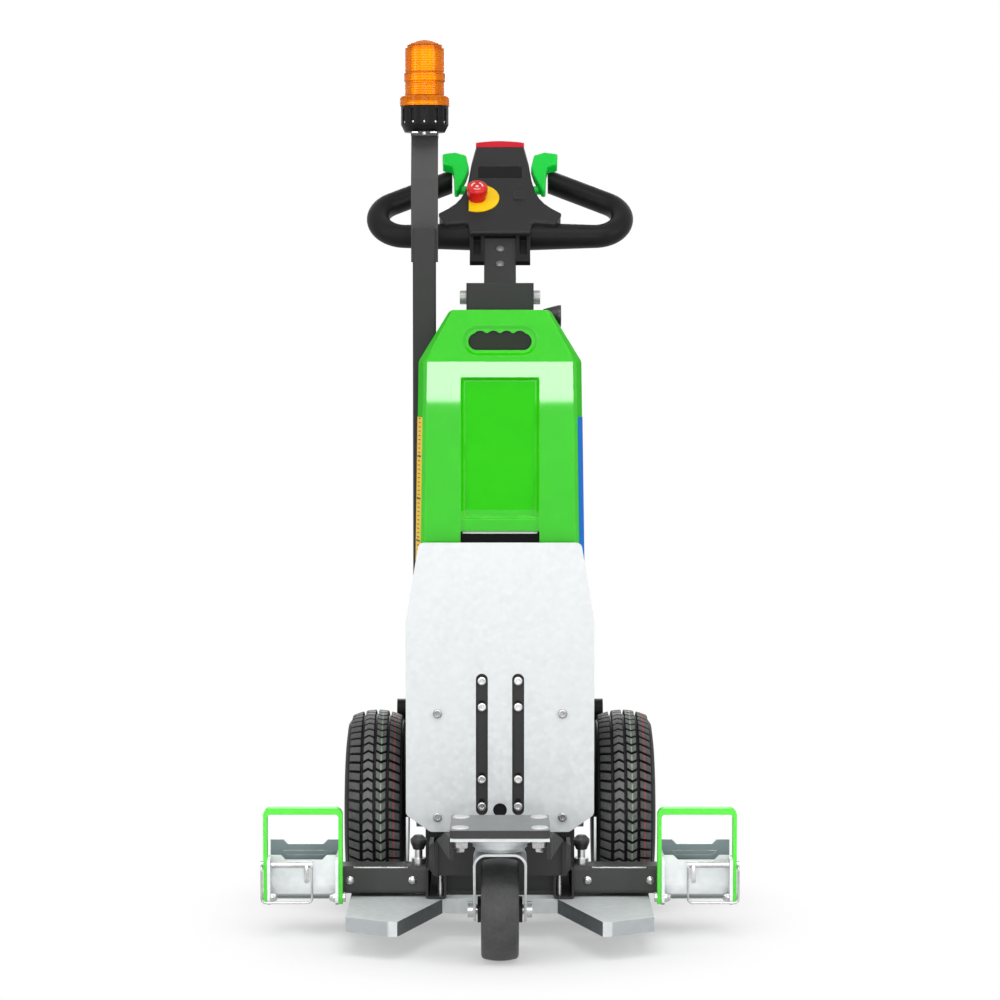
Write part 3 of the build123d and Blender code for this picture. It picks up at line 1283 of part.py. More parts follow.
# Lock pins through each bail's outer arm and ear, with a spring bow hung from the head
PIN_OUT = POCKET_X1 + BAIL_T
PIN_IN = PIN_OUT - PIN_TIP
BOW_X = PIN_OUT + PIN_HEAD_T / 2
BOW_Y = EAR_Y - EAR_REACH / 2 - 2 * BOW_R
BOW_LOW = PIN_Z - BOW_DROP
with BuildPart() as lock_pins:
    for sign in SIDES:
        for end_x, radius, length in (
            (min(sign * PIN_IN, sign * PIN_OUT), PIN_R, PIN_TIP),
            (min(sign * PIN_OUT, sign * (PIN_OUT + PIN_HEAD_T)), PIN_HEAD_R, PIN_HEAD_T),
        ):
            with BuildSketch(side_plane(end_x)):
                with Locations((EAR_Y, PIN_Z)):
                    Circle(radius)
            extrude(amount=length)
        with BuildLine() as bow:
            FilletPolyline(
                (sign * BOW_X, EAR_Y - PIN_HEAD_R / 2, PIN_Z),
                (sign * BOW_X, BOW_Y, PIN_Z),
                (sign * BOW_X, BOW_Y, BOW_LOW),
                (sign * PIN_IN, BOW_Y, BOW_LOW),
                (sign * PIN_IN, BOW_Y, PIN_Z),
                radius=BOW_BEND_R,
            )
        bow_wire = bow.wires()[0]
        with BuildSketch(Plane(origin=bow_wire @ 0, z_dir=bow_wire % 0)):
            Circle(BOW_R)
        sweep(path=bow_wire)
save(lock_pins, "lock_pins")

# Skid plate: a shallow tray with a wide notch round the castor, open below
SKID_MID = RAIL_FRONT - SKID_SETBACK
SKID_TIP = SWIVEL_REACH - SKID_TIP_BACK
SKID_SIDE = (
    # half width, reach ahead
    (SKID_NOTCH_X, SKID_MID),
    (SKID_TIP_X - SKID_TIP_W / 2, SKID_TIP),
    (SKID_TIP_X + SKID_TIP_W / 2, SKID_TIP),
    (SKID_OUT_X, SKID_TIP - SKID_OUT_BACK),
    (SKID_OUT_X, SKID_MID - SKID_D),
)
with BuildPart() as skid_plate:
    with BuildSketch(Plane.XY.offset(RAIL_Z0)):
        with BuildLine():
            Polyline(
                *[(x, ahead(reach)) for x, reach in SKID_SIDE],
                *[(-x, ahead(reach)) for x, reach in reversed(SKID_SIDE)],
                close=True,
            )
        make_face()
    extrude(amount=-SKID_DROP)
    offset(amount=-SKID_T, openings=skid_plate.faces().sort_by(Axis.Z)[:1])
save(skid_plate, "skid_plate")

# Tiller: drawn on a plane that leans with it, x across, y along the tiller, z out of its top
TILLER = Plane(origin=(0, PIVOT_Y, PIVOT_Z), x_dir=(1, 0, 0), z_dir=(0, -cos(LEAN), sin(LEAN)))
TILLER_SIDE = Plane(origin=(0, PIVOT_Y, PIVOT_Z), x_dir=(0, sin(LEAN), cos(LEAN)), z_dir=(1, 0, 0))
TILLER_UP = Axis((0, PIVOT_Y, PIVOT_Z), TILLER.z_dir)
TUBE_HUB = TUBE_D / 2 + TUBE_WALL
with BuildPart() as tiller_tube:
    with BuildSketch(TILLER.offset(-TUBE_D / 2)):
        with Locations((0, (HEAD_LOW - TUBE_TAIL) / 2)):
            Rectangle(TUBE_W, HEAD_LOW + TUBE_TAIL)
    extrude(amount=TUBE_D)
    with BuildSketch(TILLER.offset(TUBE_WALL - TUBE_D / 2)):
        with Locations((0, (HEAD_LOW + TUBE_HUB) / 2)):
            Rectangle(TUBE_W - 2 * TUBE_WALL, HEAD_LOW - TUBE_HUB)
    extrude(amount=TUBE_D - 2 * TUBE_WALL, mode=Mode.SUBTRACT)
    hub_half = YOKE_W / 2 - YOKE_GAP
    for radius, way in ((TUBE_D / 2, Mode.ADD), (PIVOT_R + RUN_FIT, Mode.SUBTRACT)):
        with BuildSketch(TILLER_SIDE.offset(-hub_half)):
            Circle(radius)
        extrude(amount=2 * hub_half, mode=way)
save(tiller_tube, "tiller_tube")


def rise(share):
    """A height on the head: 0 at the loop handles' bar, 1 at the end of the head."""
    return LOOP_BAR_A + share * HEAD_RISE


# Outline of the head cover: half width and share of the head's height, from the end to the wings
HEAD_SHARES = (
    (HEAD_END_HALF, 1.0),
    (40.0, 0.78),
    (44.0, 0.55),
    (48.0, 0.42),
    (54.0, 0.32),
    (61.0, 0.25),
    (71.0, 0.185),
    (WING_HALF, 0.115),
    (76.0, -0.02),
    (44.0, 0.0),
)
WING_TOP = 3
# Outline of the webs that join the loop bar to the head
WEB_SHARES = (
    (46.0, 0.42),
    (57.0, 0.26),
    (68.0, 0.17),
    (78.0, 0.10),
    (90.0, 0.06),
    (133.0, 0.02),
    (133.0, -0.06),
)
HEAD_SIDE = [(x, rise(share)) for x, share in HEAD_SHARES] + [(HEAD_HALF, HEAD_LOW)]
with BuildPart() as head_cover:
    with BuildSketch(TILLER.offset(HEAD_TOP)) as cover_outline:
        with BuildLine():
            Polyline(*HEAD_SIDE, *[(-x, a) for x, a in reversed(HEAD_SIDE)], close=True)
        make_face()
        fillet(cover_outline.vertices(), COVER_CORNER_R)
    extrude(amount=COVER_T)
    chamfer(head_cover.faces().sort_by(TILLER_UP)[-1].edges(), COVER_BEVEL_T)
    # a sunk field for the label, and the raised key beside the stop button
    with BuildSketch(TILLER.offset(COVER_TOP)):
        with Locations((0, HEAD_END - LABEL_DROP)):
            RectangleRounded(LABEL_W, LABEL_H, LABEL_CORNER_R)
    extrude(amount=-LABEL_DEPTH, mode=Mode.SUBTRACT)
    with BuildSketch(TILLER.offset(COVER_TOP)):
        with Locations((KEY_X, LOOP_BAR_A + KEY_RISE)):
            RectangleRounded(KEY_SIZE, KEY_SIZE, LABEL_CORNER_R)
    extrude(amount=KEY_H)
    chamfer(head_cover.faces().sort_by(TILLER_UP)[-1].edges(), KEY_BEVEL)
save(head_cover, "head_cover")

# Webs of the loop handles, bevelled all round
WEB_SIDE = [(x, rise(share)) for x, share in WEB_SHARES]
with BuildPart() as webs:
    with BuildSketch(TILLER.offset(-WEB_LOW)):
        with BuildLine():
            Polyline(*WEB_SIDE, *[(-x, a) for x, a in reversed(WEB_SIDE)], close=True)
        make_face()
    extrude(amount=WEB_LOW + WEB_TOP)
    web_faces = webs.faces().sort_by(TILLER_UP)
    chamfer(web_faces[0].edges() + web_faces[-1].edges(), WEB_BEVEL)

# Loop handles: a block under the cover with a bar through it, bent round to a grip on each side
SOCKET_HALF = TUBE_W / 2 + SEAT_GAP
POCKET_MID_X = (SOCKET_HALF + HEAD_HALF) / 2
with BuildPart() as handle_frame:
    with BuildSketch(TILLER.offset(-HEAD_DEPTH)):
        with BuildLine():
            Polyline(
                (HEAD_END_HALF, HEAD_END),
                (HEAD_HALF, HEAD_SIDE[2][1]),
                (HEAD_HALF, SOCKET_LOW),
                (-HEAD_HALF, SOCKET_LOW),
                (-HEAD_HALF, HEAD_SIDE[2][1]),
                (-HEAD_END_HALF, HEAD_END),
                close=True,
            )
        make_face()
    extrude(amount=HEAD_DEPTH + HEAD_TOP)
    chamfer(handle_frame.faces().sort_by(TILLER_UP)[0].edges(), HEAD_BEVEL)
    for sign in SIDES:
        bar_start = Plane(
            origin=TILLER.from_local_coords((0, LOOP_BAR_A, 0)),
            x_dir=TILLER.y_dir,
            z_dir=(sign, 0, 0),
        )
        with BuildSketch(bar_start):
            Circle(LOOP_BAR_R)
        with BuildSketch(bar_start.offset(LOOP_BEND_X)):
            Circle(LOOP_GRIP_R)
        loft()
        with BuildLine(TILLER) as loop_path:
            bend = JernArc((sign * LOOP_BEND_X, LOOP_BAR_A), (sign, 0), LOOP_BEND_R, sign * LOOP_TURN)
            PolarLine(bend @ 1, GRIP_LENGTH, direction=bend % 1)
        with BuildSketch(bar_start.offset(LOOP_BEND_X)):
            Circle(LOOP_GRIP_R)
        sweep(path=loop_path.line)
    # both grips end flat beside the paddles
    with BuildSketch(TILLER.offset(-HEAD_DEPTH)):
        with Locations(*[(sign * (HEAD_HALF + GRIP_END_X) / 2, HEAD_END) for sign in SIDES]):
            Rectangle(GRIP_END_X - HEAD_HALF, 2 * (HEAD_RISE - LOOP_BEND_R))
    extrude(amount=2 * HEAD_DEPTH, mode=Mode.SUBTRACT)
    # webs beside the block, filled up to the cover's wings
    add(webs.part)
    wing_side = [(x - WEB_INSET, a) for x, a in HEAD_SIDE[WING_TOP:-1]]
    with BuildSketch(TILLER):
        with BuildLine():
            Polyline(*wing_side, *[(-x, a) for x, a in reversed(wing_side)], close=True)
        make_face()
    extrude(amount=HEAD_TOP)
    # the socket holds the tube, with a pocket in each of its cheeks, and thins towards its lower end
    with BuildSketch(TILLER_SIDE):
        with BuildLine():
            Polyline(
                (SOCKET_LOW, SOCKET_TIP),
                (SOCKET_LOW, -HEAD_DEPTH),
                (SOCKET_LOW + SOCKET_RUN, -HEAD_DEPTH),
                close=True,
            )
        make_face()
    extrude(amount=HEAD_HALF, both=True, mode=Mode.SUBTRACT)
    with BuildSketch(TILLER.offset(-TUBE_D / 2 - SEAT_GAP)):
        with Locations((0, (SOCKET_LOW + HEAD_LOW) / 2)):
            Rectangle(2 * SOCKET_HALF, SOCKET_L + 2 * SEAT_GAP)
    extrude(amount=TUBE_D + 2 * SEAT_GAP + HEAD_DEPTH, mode=Mode.SUBTRACT)
    with BuildSketch(TILLER.offset(HEAD_TOP)):
        with Locations(*[(sign * POCKET_MID_X, HEAD_LOW - SOCKET_POCKET_L / 2) for sign in SIDES]):
            Rectangle(HEAD_HALF - SOCKET_HALF - 2 * SOCKET_WALL, SOCKET_POCKET_L)
    extrude(amount=-SOCKET_POCKET_DEPTH, mode=Mode.SUBTRACT)
save(handle_frame, "handle_frame")

# Thumb paddles beside the head: x and share of the head's height, round the outline
PADDLE_Z0 = LOOP_GRIP_R + PADDLE_LIFT
PADDLE_SIDE = (
    (47.0, 0.594),
    (43.5, 0.70),
    (47.5, 0.853),
    (63.0, 0.894),
    (81.0, 0.871),
    (80.0, 0.735),
    (67.0, 0.706),
    (64.5, 0.624),
    (62.5, 0.294),
    (56.5, 0.418),
)
with BuildPart() as thumb_paddles:
    for sign in SIDES:
        with BuildSketch(TILLER.offset(PADDLE_Z0)) as paddle:
            with BuildLine():
                Polyline(*[(sign * x, rise(share)) for x, share in PADDLE_SIDE], close=True)
            make_face()
            fillet(paddle.vertices(), PADDLE_ROUND)
        extrude(amount=PADDLE_T)
    fillet(thumb_paddles.faces().group_by(TILLER_UP)[-1].edges(), PADDLE_ROUND)
    for sign in SIDES:
        # the stub that carries the paddle on the side of the head
        stub_start = min(sign * HEAD_HALF, sign * (HEAD_HALF + PADDLE_STUB_L))
        with BuildSketch(TILLER_SIDE.offset(stub_start)):
            with Locations((rise(PADDLE_STUB_SHARE), PADDLE_Z0 - PADDLE_STUB_R / 2)):
                Circle(PADDLE_STUB_R)
        extrude(amount=PADDLE_STUB_L)
save(thumb_paddles, "thumb_paddles")

# Emergency stop on its plate, and the belly button at the end of the head
ESTOP_A = LOOP_BAR_A + ESTOP_RISE
with BuildPart() as estop_plate:
    with BuildSketch(TILLER.offset(COVER_TOP)):
        with Locations((ESTOP_X, ESTOP_A)):
            Circle(ESTOP_PLATE_R)
        with Locations((ESTOP_X - ESTOP_PLATE_CUT - ESTOP_PLATE_R, ESTOP_A)):
            Rectangle(2 * ESTOP_PLATE_R, 2 * ESTOP_PLATE_R, mode=Mode.SUBTRACT)
    extrude(amount=ESTOP_PLATE_T)
save(estop_plate, "estop_plate")

STEM_LOW = COVER_TOP + ESTOP_PLATE_T
CAP_LOW = STEM_LOW + ESTOP_STEM_H
CAP_TOP = CAP_LOW + ESTOP_CAP_H
CAP_FLAT_R = ESTOP_CAP_R - ESTOP_ROUND
estop_origin = TILLER.from_local_coords((ESTOP_X, ESTOP_A, 0))
with BuildPart() as estop_button:
    with BuildSketch(Plane(origin=estop_origin, x_dir=(1, 0, 0), z_dir=-TILLER.y_dir)):
        with BuildLine():
            Polyline(
                (0, CAP_TOP - ESTOP_DISH),
                (0, STEM_LOW),
                (ESTOP_NECK_R, STEM_LOW),
                (ESTOP_STEM_R, CAP_LOW),
                (ESTOP_CAP_R, CAP_LOW),
                (ESTOP_CAP_R, CAP_TOP - ESTOP_ROUND),
            )
            RadiusArc((ESTOP_CAP_R, CAP_TOP - ESTOP_ROUND), (CAP_FLAT_R, CAP_TOP), -ESTOP_ROUND)
            Line((CAP_FLAT_R, CAP_TOP), (0, CAP_TOP - ESTOP_DISH))
        make_face()
    revolve(axis=Axis(estop_origin, TILLER.z_dir))
save(estop_button, "estop_button")

with BuildPart() as belly_button:
    belly_end = HEAD_END + BELLY_T
    side_end = belly_end - BELLY_CROWN
    with BuildSketch(TILLER.offset(-HEAD_DEPTH)):
        with BuildLine():
            Polyline(
                (HEAD_END_HALF, side_end),
                (HEAD_END_HALF, HEAD_END),
                (-HEAD_END_HALF, HEAD_END),
                (-HEAD_END_HALF, side_end),
            )
            ThreePointArc((-HEAD_END_HALF, side_end), (0, belly_end), (HEAD_END_HALF, side_end))
        make_face()
    extrude(amount=HEAD_DEPTH + COVER_TOP)
    fillet(belly_button.edges().filter_by(GeomType.CIRCLE), BELLY_R)
save(belly_button, "belly_button")
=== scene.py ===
import json
from math import cos, pi, radians, sin

import bmesh
import bpy
import numpy as np
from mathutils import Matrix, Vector


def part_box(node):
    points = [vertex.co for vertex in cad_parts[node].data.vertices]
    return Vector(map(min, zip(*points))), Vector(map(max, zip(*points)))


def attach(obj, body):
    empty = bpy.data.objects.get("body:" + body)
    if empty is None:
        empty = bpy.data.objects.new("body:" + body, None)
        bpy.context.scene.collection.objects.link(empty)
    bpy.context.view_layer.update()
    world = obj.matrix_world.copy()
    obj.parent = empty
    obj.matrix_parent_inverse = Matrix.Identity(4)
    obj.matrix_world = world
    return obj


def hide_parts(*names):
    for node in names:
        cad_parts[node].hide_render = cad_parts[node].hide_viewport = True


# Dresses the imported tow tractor: tyre treads, fastenings, strips and finishes on the fixed CAD frame.
# Metres. X is across, the load side faces -Y, Z is up from the floor.

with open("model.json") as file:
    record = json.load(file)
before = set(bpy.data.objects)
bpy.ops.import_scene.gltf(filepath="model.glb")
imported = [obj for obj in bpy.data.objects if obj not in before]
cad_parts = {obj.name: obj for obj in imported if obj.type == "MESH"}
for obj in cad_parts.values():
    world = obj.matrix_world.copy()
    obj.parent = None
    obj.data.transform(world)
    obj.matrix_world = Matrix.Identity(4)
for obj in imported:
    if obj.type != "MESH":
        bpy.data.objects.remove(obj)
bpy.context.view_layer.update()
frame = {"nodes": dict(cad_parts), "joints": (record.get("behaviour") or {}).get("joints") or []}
nodes = frame["nodes"]
joints = {joint["name"]: joint for joint in frame["joints"]}
axle = np.array(joints["left_wheel_spin"]["pos_m"])
pivot = np.array(joints["tiller_tilt"]["pos_m"])
swivel = np.array(joints["castor_swivel"]["pos_m"])

RIGHT, BACK, UP = np.eye(3)
SIDES = (-1, 1)
SIDE_NAMES = ((-1, "left"), (1, "right"))

# Tiller at rest: the directions along it and out of its top
LEAN = radians(50)
ALONG = np.array([0, sin(LEAN), cos(LEAN)])
OUT = np.array([0, -cos(LEAN), sin(LEAN)])

# Camera: a long lens, level with the hand grip and looking slightly down
CAMERA_DISTANCE = 4.0
CAMERA_HEIGHT = 0.788
CAMERA_PITCH = radians(3.51)
CAMERA_LENS_MM = 108.0
CAMERA_SENSOR_MM = 36.0
CAMERA_REACH = 60.0

# Edges past an angle are shaded sharp: on round pieces, the tread, nuts and sheets
ROUND_ANGLE = 35
TREAD_ANGLE = 38
FACET_ANGLE = 20
MERGE_DISTANCE = 1e-6


def on_tiller(x, along, out):
    """The place x across, so far along the tiller from its pivot and so far out of its top."""
    return pivot + x * RIGHT + along * ALONG + out * OUT


# Shapes worked out as arrays


def grid_faces(rows, columns, wrap_rows=False):
    """Quads of a grid of points that is closed along its rows, and along its columns if asked."""
    row = np.arange(rows if wrap_rows else rows - 1)[:, None]
    column = np.arange(columns)[None, :]
    next_row = (row + 1) % rows
    next_column = (column + 1) % columns
    corners = (
        row * columns + column,
        row * columns + next_column,
        next_row * columns + next_column,
        next_row * columns + column,
    )
    shape = (row.size, columns)
    return np.stack([np.broadcast_to(corner, shape) for corner in corners], -1).reshape(-1, 4)


def ring(steps):
    """Unit outline of so many points: cosine across, sine upward."""
    angle = (np.arange(steps) + 0.5) * 2 * pi / steps
    return np.stack([np.cos(angle), np.sin(angle)], -1)


def rounded_box(width, height, corner, steps=4):
    """Outline of a rectangle with round corners: a quarter circle about each of four corner centres."""
    turn = np.linspace(0, pi / 2, steps)
    angle = turn[None] + np.arange(4)[:, None] * pi / 2
    sign = np.array([(1, 1), (-1, 1), (-1, -1), (1, -1)])
    centre = sign * (np.array([width, height]) / 2 - corner)
    arc = corner * np.stack([np.cos(angle), np.sin(angle)], -1)
    return (centre[:, None] + arc).reshape(-1, 2)


def stacked(outline, profile, across, upward):
    """An outline carried along its own normal: each profile row gives the outline's scale and its height."""
    outward = np.cross(across, upward)
    flat = outline[:, :1] * across + outline[:, 1:] * upward
    scale, height = np.array(profile, float).T
    points = scale[:, None, None] * flat[None] + height[:, None, None] * outward
    return points.reshape(-1, 3), grid_faces(len(scale), len(outline))


def slab(thickness):
    """Profile of a flat plate with square edges."""
    return ((0, 0), (1, 0), (1, thickness), (0, thickness))


def eased(rim, face, share):
    """Profile of a plate: rim thick at its edge, face thick within a share of its width."""
    return ((0, 0), (1, 0), (1, rim), (share, face), (0, face))


def plate(size, profile, across=RIGHT, upward=UP):
    """A plate of a width, height and corner radius, its profile carried out of its plane."""
    return stacked(rounded_box(*size), profile, across, upward)


def turns(count, first=0.0):
    """Cosines and sines of even turns round a circle."""
    angle = first + np.arange(count) * 2 * pi / count
    return np.cos(angle), np.sin(angle)


def scattered(shape, places):
    """The same shape at many places: its points moved to each place, its faces counted on."""
    points, faces = shape
    places = np.array(places, float)
    all_points = points[None] + places[:, None]
    all_faces = faces[None] + len(points) * np.arange(len(places))[:, None, None]
    return all_points.reshape(-1, 3), all_faces.reshape(-1, 4)


def gathered(*shapes):
    """Several shapes as one: their points in a row, their faces counted on."""
    counts = np.cumsum([0] + [len(points) for points, _ in shapes])
    points = np.concatenate([points for points, _ in shapes])
    faces = np.concatenate([faces + count for (_, faces), count in zip(shapes, counts)])
    return points, faces


def add_piece(name, shape, body, material, smooth_angle=ROUND_ANGLE, marks=None,
              stands_for=None):
    """A mesh piece riding on a body: doubles merged, faces turned outwards, marks kept as attributes."""
    points, faces = shape
    mesh = bpy.data.meshes.new(name)
    mesh.from_pydata(points.tolist(), [], faces.tolist())
    for mark, values in (marks or {}).items():
        layer = mesh.attributes.new(mark, "FLOAT", "POINT")
        layer.data.foreach_set("value", values.astype(np.float32).ravel())
    work = bmesh.new()
    work.from_mesh(mesh)
    bmesh.ops.remove_doubles(work, verts=work.verts, dist=MERGE_DISTANCE)
    bmesh.ops.recalc_face_normals(work, faces=work.faces)
    work.to_mesh(mesh)
    work.free()
    mesh.shade_smooth()
    mesh.set_sharp_from_angle(angle=radians(smooth_angle))
    mesh.materials.append(material)
    piece = bpy.data.objects.new(name, mesh)
    bpy.context.scene.collection.objects.link(piece)
    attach(piece, body)
    if stands_for:
        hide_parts(stands_for)


# Shader nodes


def add_node(tree, kind, inputs=None, **settings):
    """A shader node with its settings, and its inputs set to values or linked from sockets."""
    made = tree.nodes.new(kind)
    for key, value in settings.items():
        setattr(made, key, value)
    for key, value in (inputs or {}).items():
        if isinstance(value, bpy.types.NodeSocket):
            tree.links.new(value, made.inputs[key])
        else:
            made.inputs[key].default_value = value
    return made


def math(tree, operation, first, second=0.0):
    """A value worked out from two."""
    return add_node(tree, "ShaderNodeMath", {0: first, 1: second}, operation=operation).outputs[0]


def times(tree, first, second):
    """Two values' product, or where two masks meet."""
    return math(tree, "MULTIPLY", first, second)


def grey(value):
    """A neutral colour."""
    return (value, value, value, 1.0)


def mix(tree, factor, first, second):
    """A colour between two: the first at factor 0, the second at 1. A plain number is a grey."""
    first, second = (grey(tone) if isinstance(tone, float) else tone for tone in (first, second))
    inputs = {0: factor, 6: first, 7: second}
    return add_node(tree, "ShaderNodeMix", inputs, data_type="RGBA").outputs[2]


def ramp(tree, value, low, high, to_low=0.0, to_high=1.0):
    """A value stretched from low..high to another range, smoothly, and held at its ends."""
    inputs = {"Value": value, "From Min": low, "From Max": high, "To Min": to_low, "To Max": to_high}
    return add_node(tree, "ShaderNodeMapRange", inputs, interpolation_type="SMOOTHSTEP").outputs["Result"]


def between(tree, share, low, high):
    """A value that goes smoothly from low to high as a share goes from 0 to 1."""
    return ramp(tree, share, 0.0, 1.0, low, high)


SOFT = 0.0002


def within(tree, value, low, high, soft=SOFT):
    """A mask of where a value lies between low and high."""
    above = ramp(tree, value, low - soft, low + soft)
    below = ramp(tree, value, high - soft, high + soft, 1.0, 0.0)
    return times(tree, above, below)


def vector_math(tree, operation, first, second=(0.0, 0.0, 0.0)):
    """What two vectors give: a vector and a value."""
    return add_node(tree, "ShaderNodeVectorMath", {0: first, 1: second}, operation=operation).outputs


def split(tree, vector):
    """A vector's X, Y and Z."""
    return add_node(tree, "ShaderNodeSeparateXYZ", {"Vector": vector}).outputs


def object_place(tree):
    """The object coordinates."""
    return add_node(tree, "ShaderNodeTexCoord").outputs["Object"]


def face_turn(tree):
    """The way a face is turned, as X, Y and Z."""
    return split(tree, add_node(tree, "ShaderNodeNewGeometry").outputs["True Normal"])


def noise(tree, place, scale, detail=3.0):
    """Smooth noise from 0 to 1 about 0.5."""
    inputs = {"Vector": place, "Scale": scale, "Detail": detail}
    return add_node(tree, "ShaderNodeTexNoise", inputs).outputs["Fac"]


def new_group(name, inputs, outputs):
    """A shader node group with named sockets: the group, its given inputs and its outputs to fill."""
    group = bpy.data.node_groups.new(name, "ShaderNodeTree")
    for way, sockets in (("INPUT", inputs), ("OUTPUT", outputs)):
        for socket, kind in sockets.items():
            group.interface.new_socket(name=socket, in_out=way, socket_type=f"NodeSocket{kind}")
    given = group.nodes.new("NodeGroupInput").outputs
    filled = group.nodes.new("NodeGroupOutput").inputs
    return group, given, filled


def mottle_group():
    """Slow uneven tone: broad noise with a share of finer noise laid over it, 0 to 1."""
    group, given, filled = new_group("Mottle", {"Scale": "Float", "Fine Share": "Float"}, {"Tone": "Float"})
    place = object_place(group)
    broad = noise(group, place, given["Scale"])
    fine = noise(group, place, times(group, given["Scale"], 9.0), 4.0)
    tone = add_node(group, "ShaderNodeMix", {0: given["Fine Share"], 2: broad, 3: fine}).outputs[0]
    group.links.new(ramp(group, tone, 0.3, 0.7), filled["Tone"])
    return group


def grain_group():
    """Fine moulded or sprayed texture: small round bumps, 0 to 1, for a bump node."""
    group, given, filled = new_group("Grain", {"Scale": "Float"}, {"Height": "Float"})
    place = object_place(group)
    group.links.new(noise(group, place, given["Scale"], 2.0), filled["Height"])
    return group


def edges_group():
    """Soft edges: the normal rounded over a small radius, and a broken mask of where the edges are."""
    inputs = {"Radius": "Float", "Breakup": "Float"}
    group, given, filled = new_group("Soft Edges", inputs, {"Normal": "Vector", "Edge": "Float"})
    rounded = add_node(group, "ShaderNodeBevel", {"Radius": given["Radius"]}, samples=4).outputs[0]
    facing = add_node(group, "ShaderNodeNewGeometry").outputs["Normal"]
    match = vector_math(group, "DOT_PRODUCT", rounded, facing)["Value"]
    place = object_place(group)
    patches = ramp(group, noise(group, place, given["Breakup"]), 0.3, 0.6, 0.35, 1.0)
    edge = ramp(group, match, 0.99, 0.85)
    group.links.new(rounded, filled["Normal"])
    group.links.new(times(group, edge, patches), filled["Edge"])
    return group


def spangle_group():
    """Zinc crystals: cells of slightly different tone, with faint streaks drawn down the sheet."""
    inputs = {"Cell Scale": "Float", "Streak Scale": "Float"}
    group, given, filled = new_group("Spangle", inputs, {"Tone": "Float", "Streak": "Float"})
    place = object_place(group)
    cells = add_node(group, "ShaderNodeTexVoronoi", {"Vector": place, "Scale": given["Cell Scale"]},
                     feature="SMOOTH_F1")
    red = add_node(group, "ShaderNodeSeparateColor", {"Color": cells.outputs["Color"]}).outputs["Red"]
    drawn = add_node(group, "ShaderNodeMapping", {"Vector": place, "Scale": (1.0, 1.0, 0.08)}).outputs[0]
    group.links.new(red, filled["Tone"])
    group.links.new(noise(group, drawn, given["Streak Scale"], 4.0), filled["Streak"])
    return group


MOTTLE = mottle_group()
GRAIN = grain_group()
EDGES = edges_group()
SPANGLE = spangle_group()


def use_group(tree, group, **values):
    """A node group placed in a material with its own values: its outputs."""
    named = {key.replace("_", " "): value for key, value in values.items()}
    return add_node(tree, "ShaderNodeGroup", named, node_tree=group).outputs


def mottled(tree, scale, fine_share):
    """The mottle's tone."""
    return use_group(tree, MOTTLE, Scale=scale, Fine_Share=fine_share)["Tone"]


def start_material(name, specular=0.5, **plain):
    """A new material: its tree and its shader, whose constant sockets are set by name."""
    material = bpy.data.materials.new(name)
    material.use_nodes = True
    tree = material.node_tree
    shader = tree.nodes["Principled BSDF"]
    shader.inputs["Specular IOR Level"].default_value = specular
    for socket, value in plain.items():
        shader.inputs[socket.replace("_", " ")].default_value = value
    return material, tree, shader


def finish_surface(tree, shader, colour, roughness, normal=None, grain=None):
    """Links a colour, a roughness and a normal, roughened by fine grain, into the shader."""
    tree.links.new(colour, shader.inputs["Base Color"])
    tree.links.new(roughness, shader.inputs["Roughness"])
    if grain:
        scale, strength = grain
        height = use_group(tree, GRAIN, Scale=scale)["Height"]
        bump = add_node(tree, "ShaderNodeBump", {"Height": height, "Strength": strength, "Distance": 0.0002})
        if normal:
            tree.links.new(normal, bump.inputs["Normal"])
        normal = bump.outputs[0]
    if normal:
        tree.links.new(normal, shader.inputs["Normal"])


def coating(name, tones, roughness, mottle=6.0, grain=None, edge=None, edge_radius=0.0012, top=None,
            **plain):
    """A solid finish: its tone wanders between two colours, its gloss with it, its edges are lighter, partly
    as wear and partly as a painted highlight, and what faces up may be painted lighter, as if lit from
    above."""
    material, tree, shader = start_material(name, **plain)
    tone = mottled(tree, mottle, 0.35)
    soft = use_group(tree, EDGES, Radius=edge_radius, Breakup=60.0)
    colour = mix(tree, tone, tones[0], tones[1])
    if top:
        # painted light: faces that look up take the lighter colour
        colour = mix(tree, ramp(tree, face_turn(tree)["Z"], 0.6, 0.9), colour, top)
    if edge:
        # lighter edges: partly wear, partly a painted highlight
        colour = mix(tree, soft["Edge"], colour, edge)
    finish_surface(tree, shader, colour, between(tree, tone, *roughness), soft["Normal"], grain)
    return material


pocket_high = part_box("pockets")[1]
POCKET_WALL_IN = 0.006
POCKET_WALL = pocket_high.y - POCKET_WALL_IN
WALL_SOFT = 0.0004
TRAY_CORNER = 0.137
TRAY_SOFT = 0.002
# Painted shade and highlight colours for the zinc sheets
CORNER_SHADE = (0.16, 0.19, 0.20, 1)
FRONT_SHADE = (0.21, 0.24, 0.245, 1)
SLANT_SHADE = (0.035, 0.045, 0.048, 1)
WALL_SHADE = (0.21, 0.26, 0.275, 1)
UNDER_SHADE = (0.09, 0.115, 0.12, 1)
ZINC_EDGE_HIGHLIGHT = (0.86, 0.88, 0.89, 1)


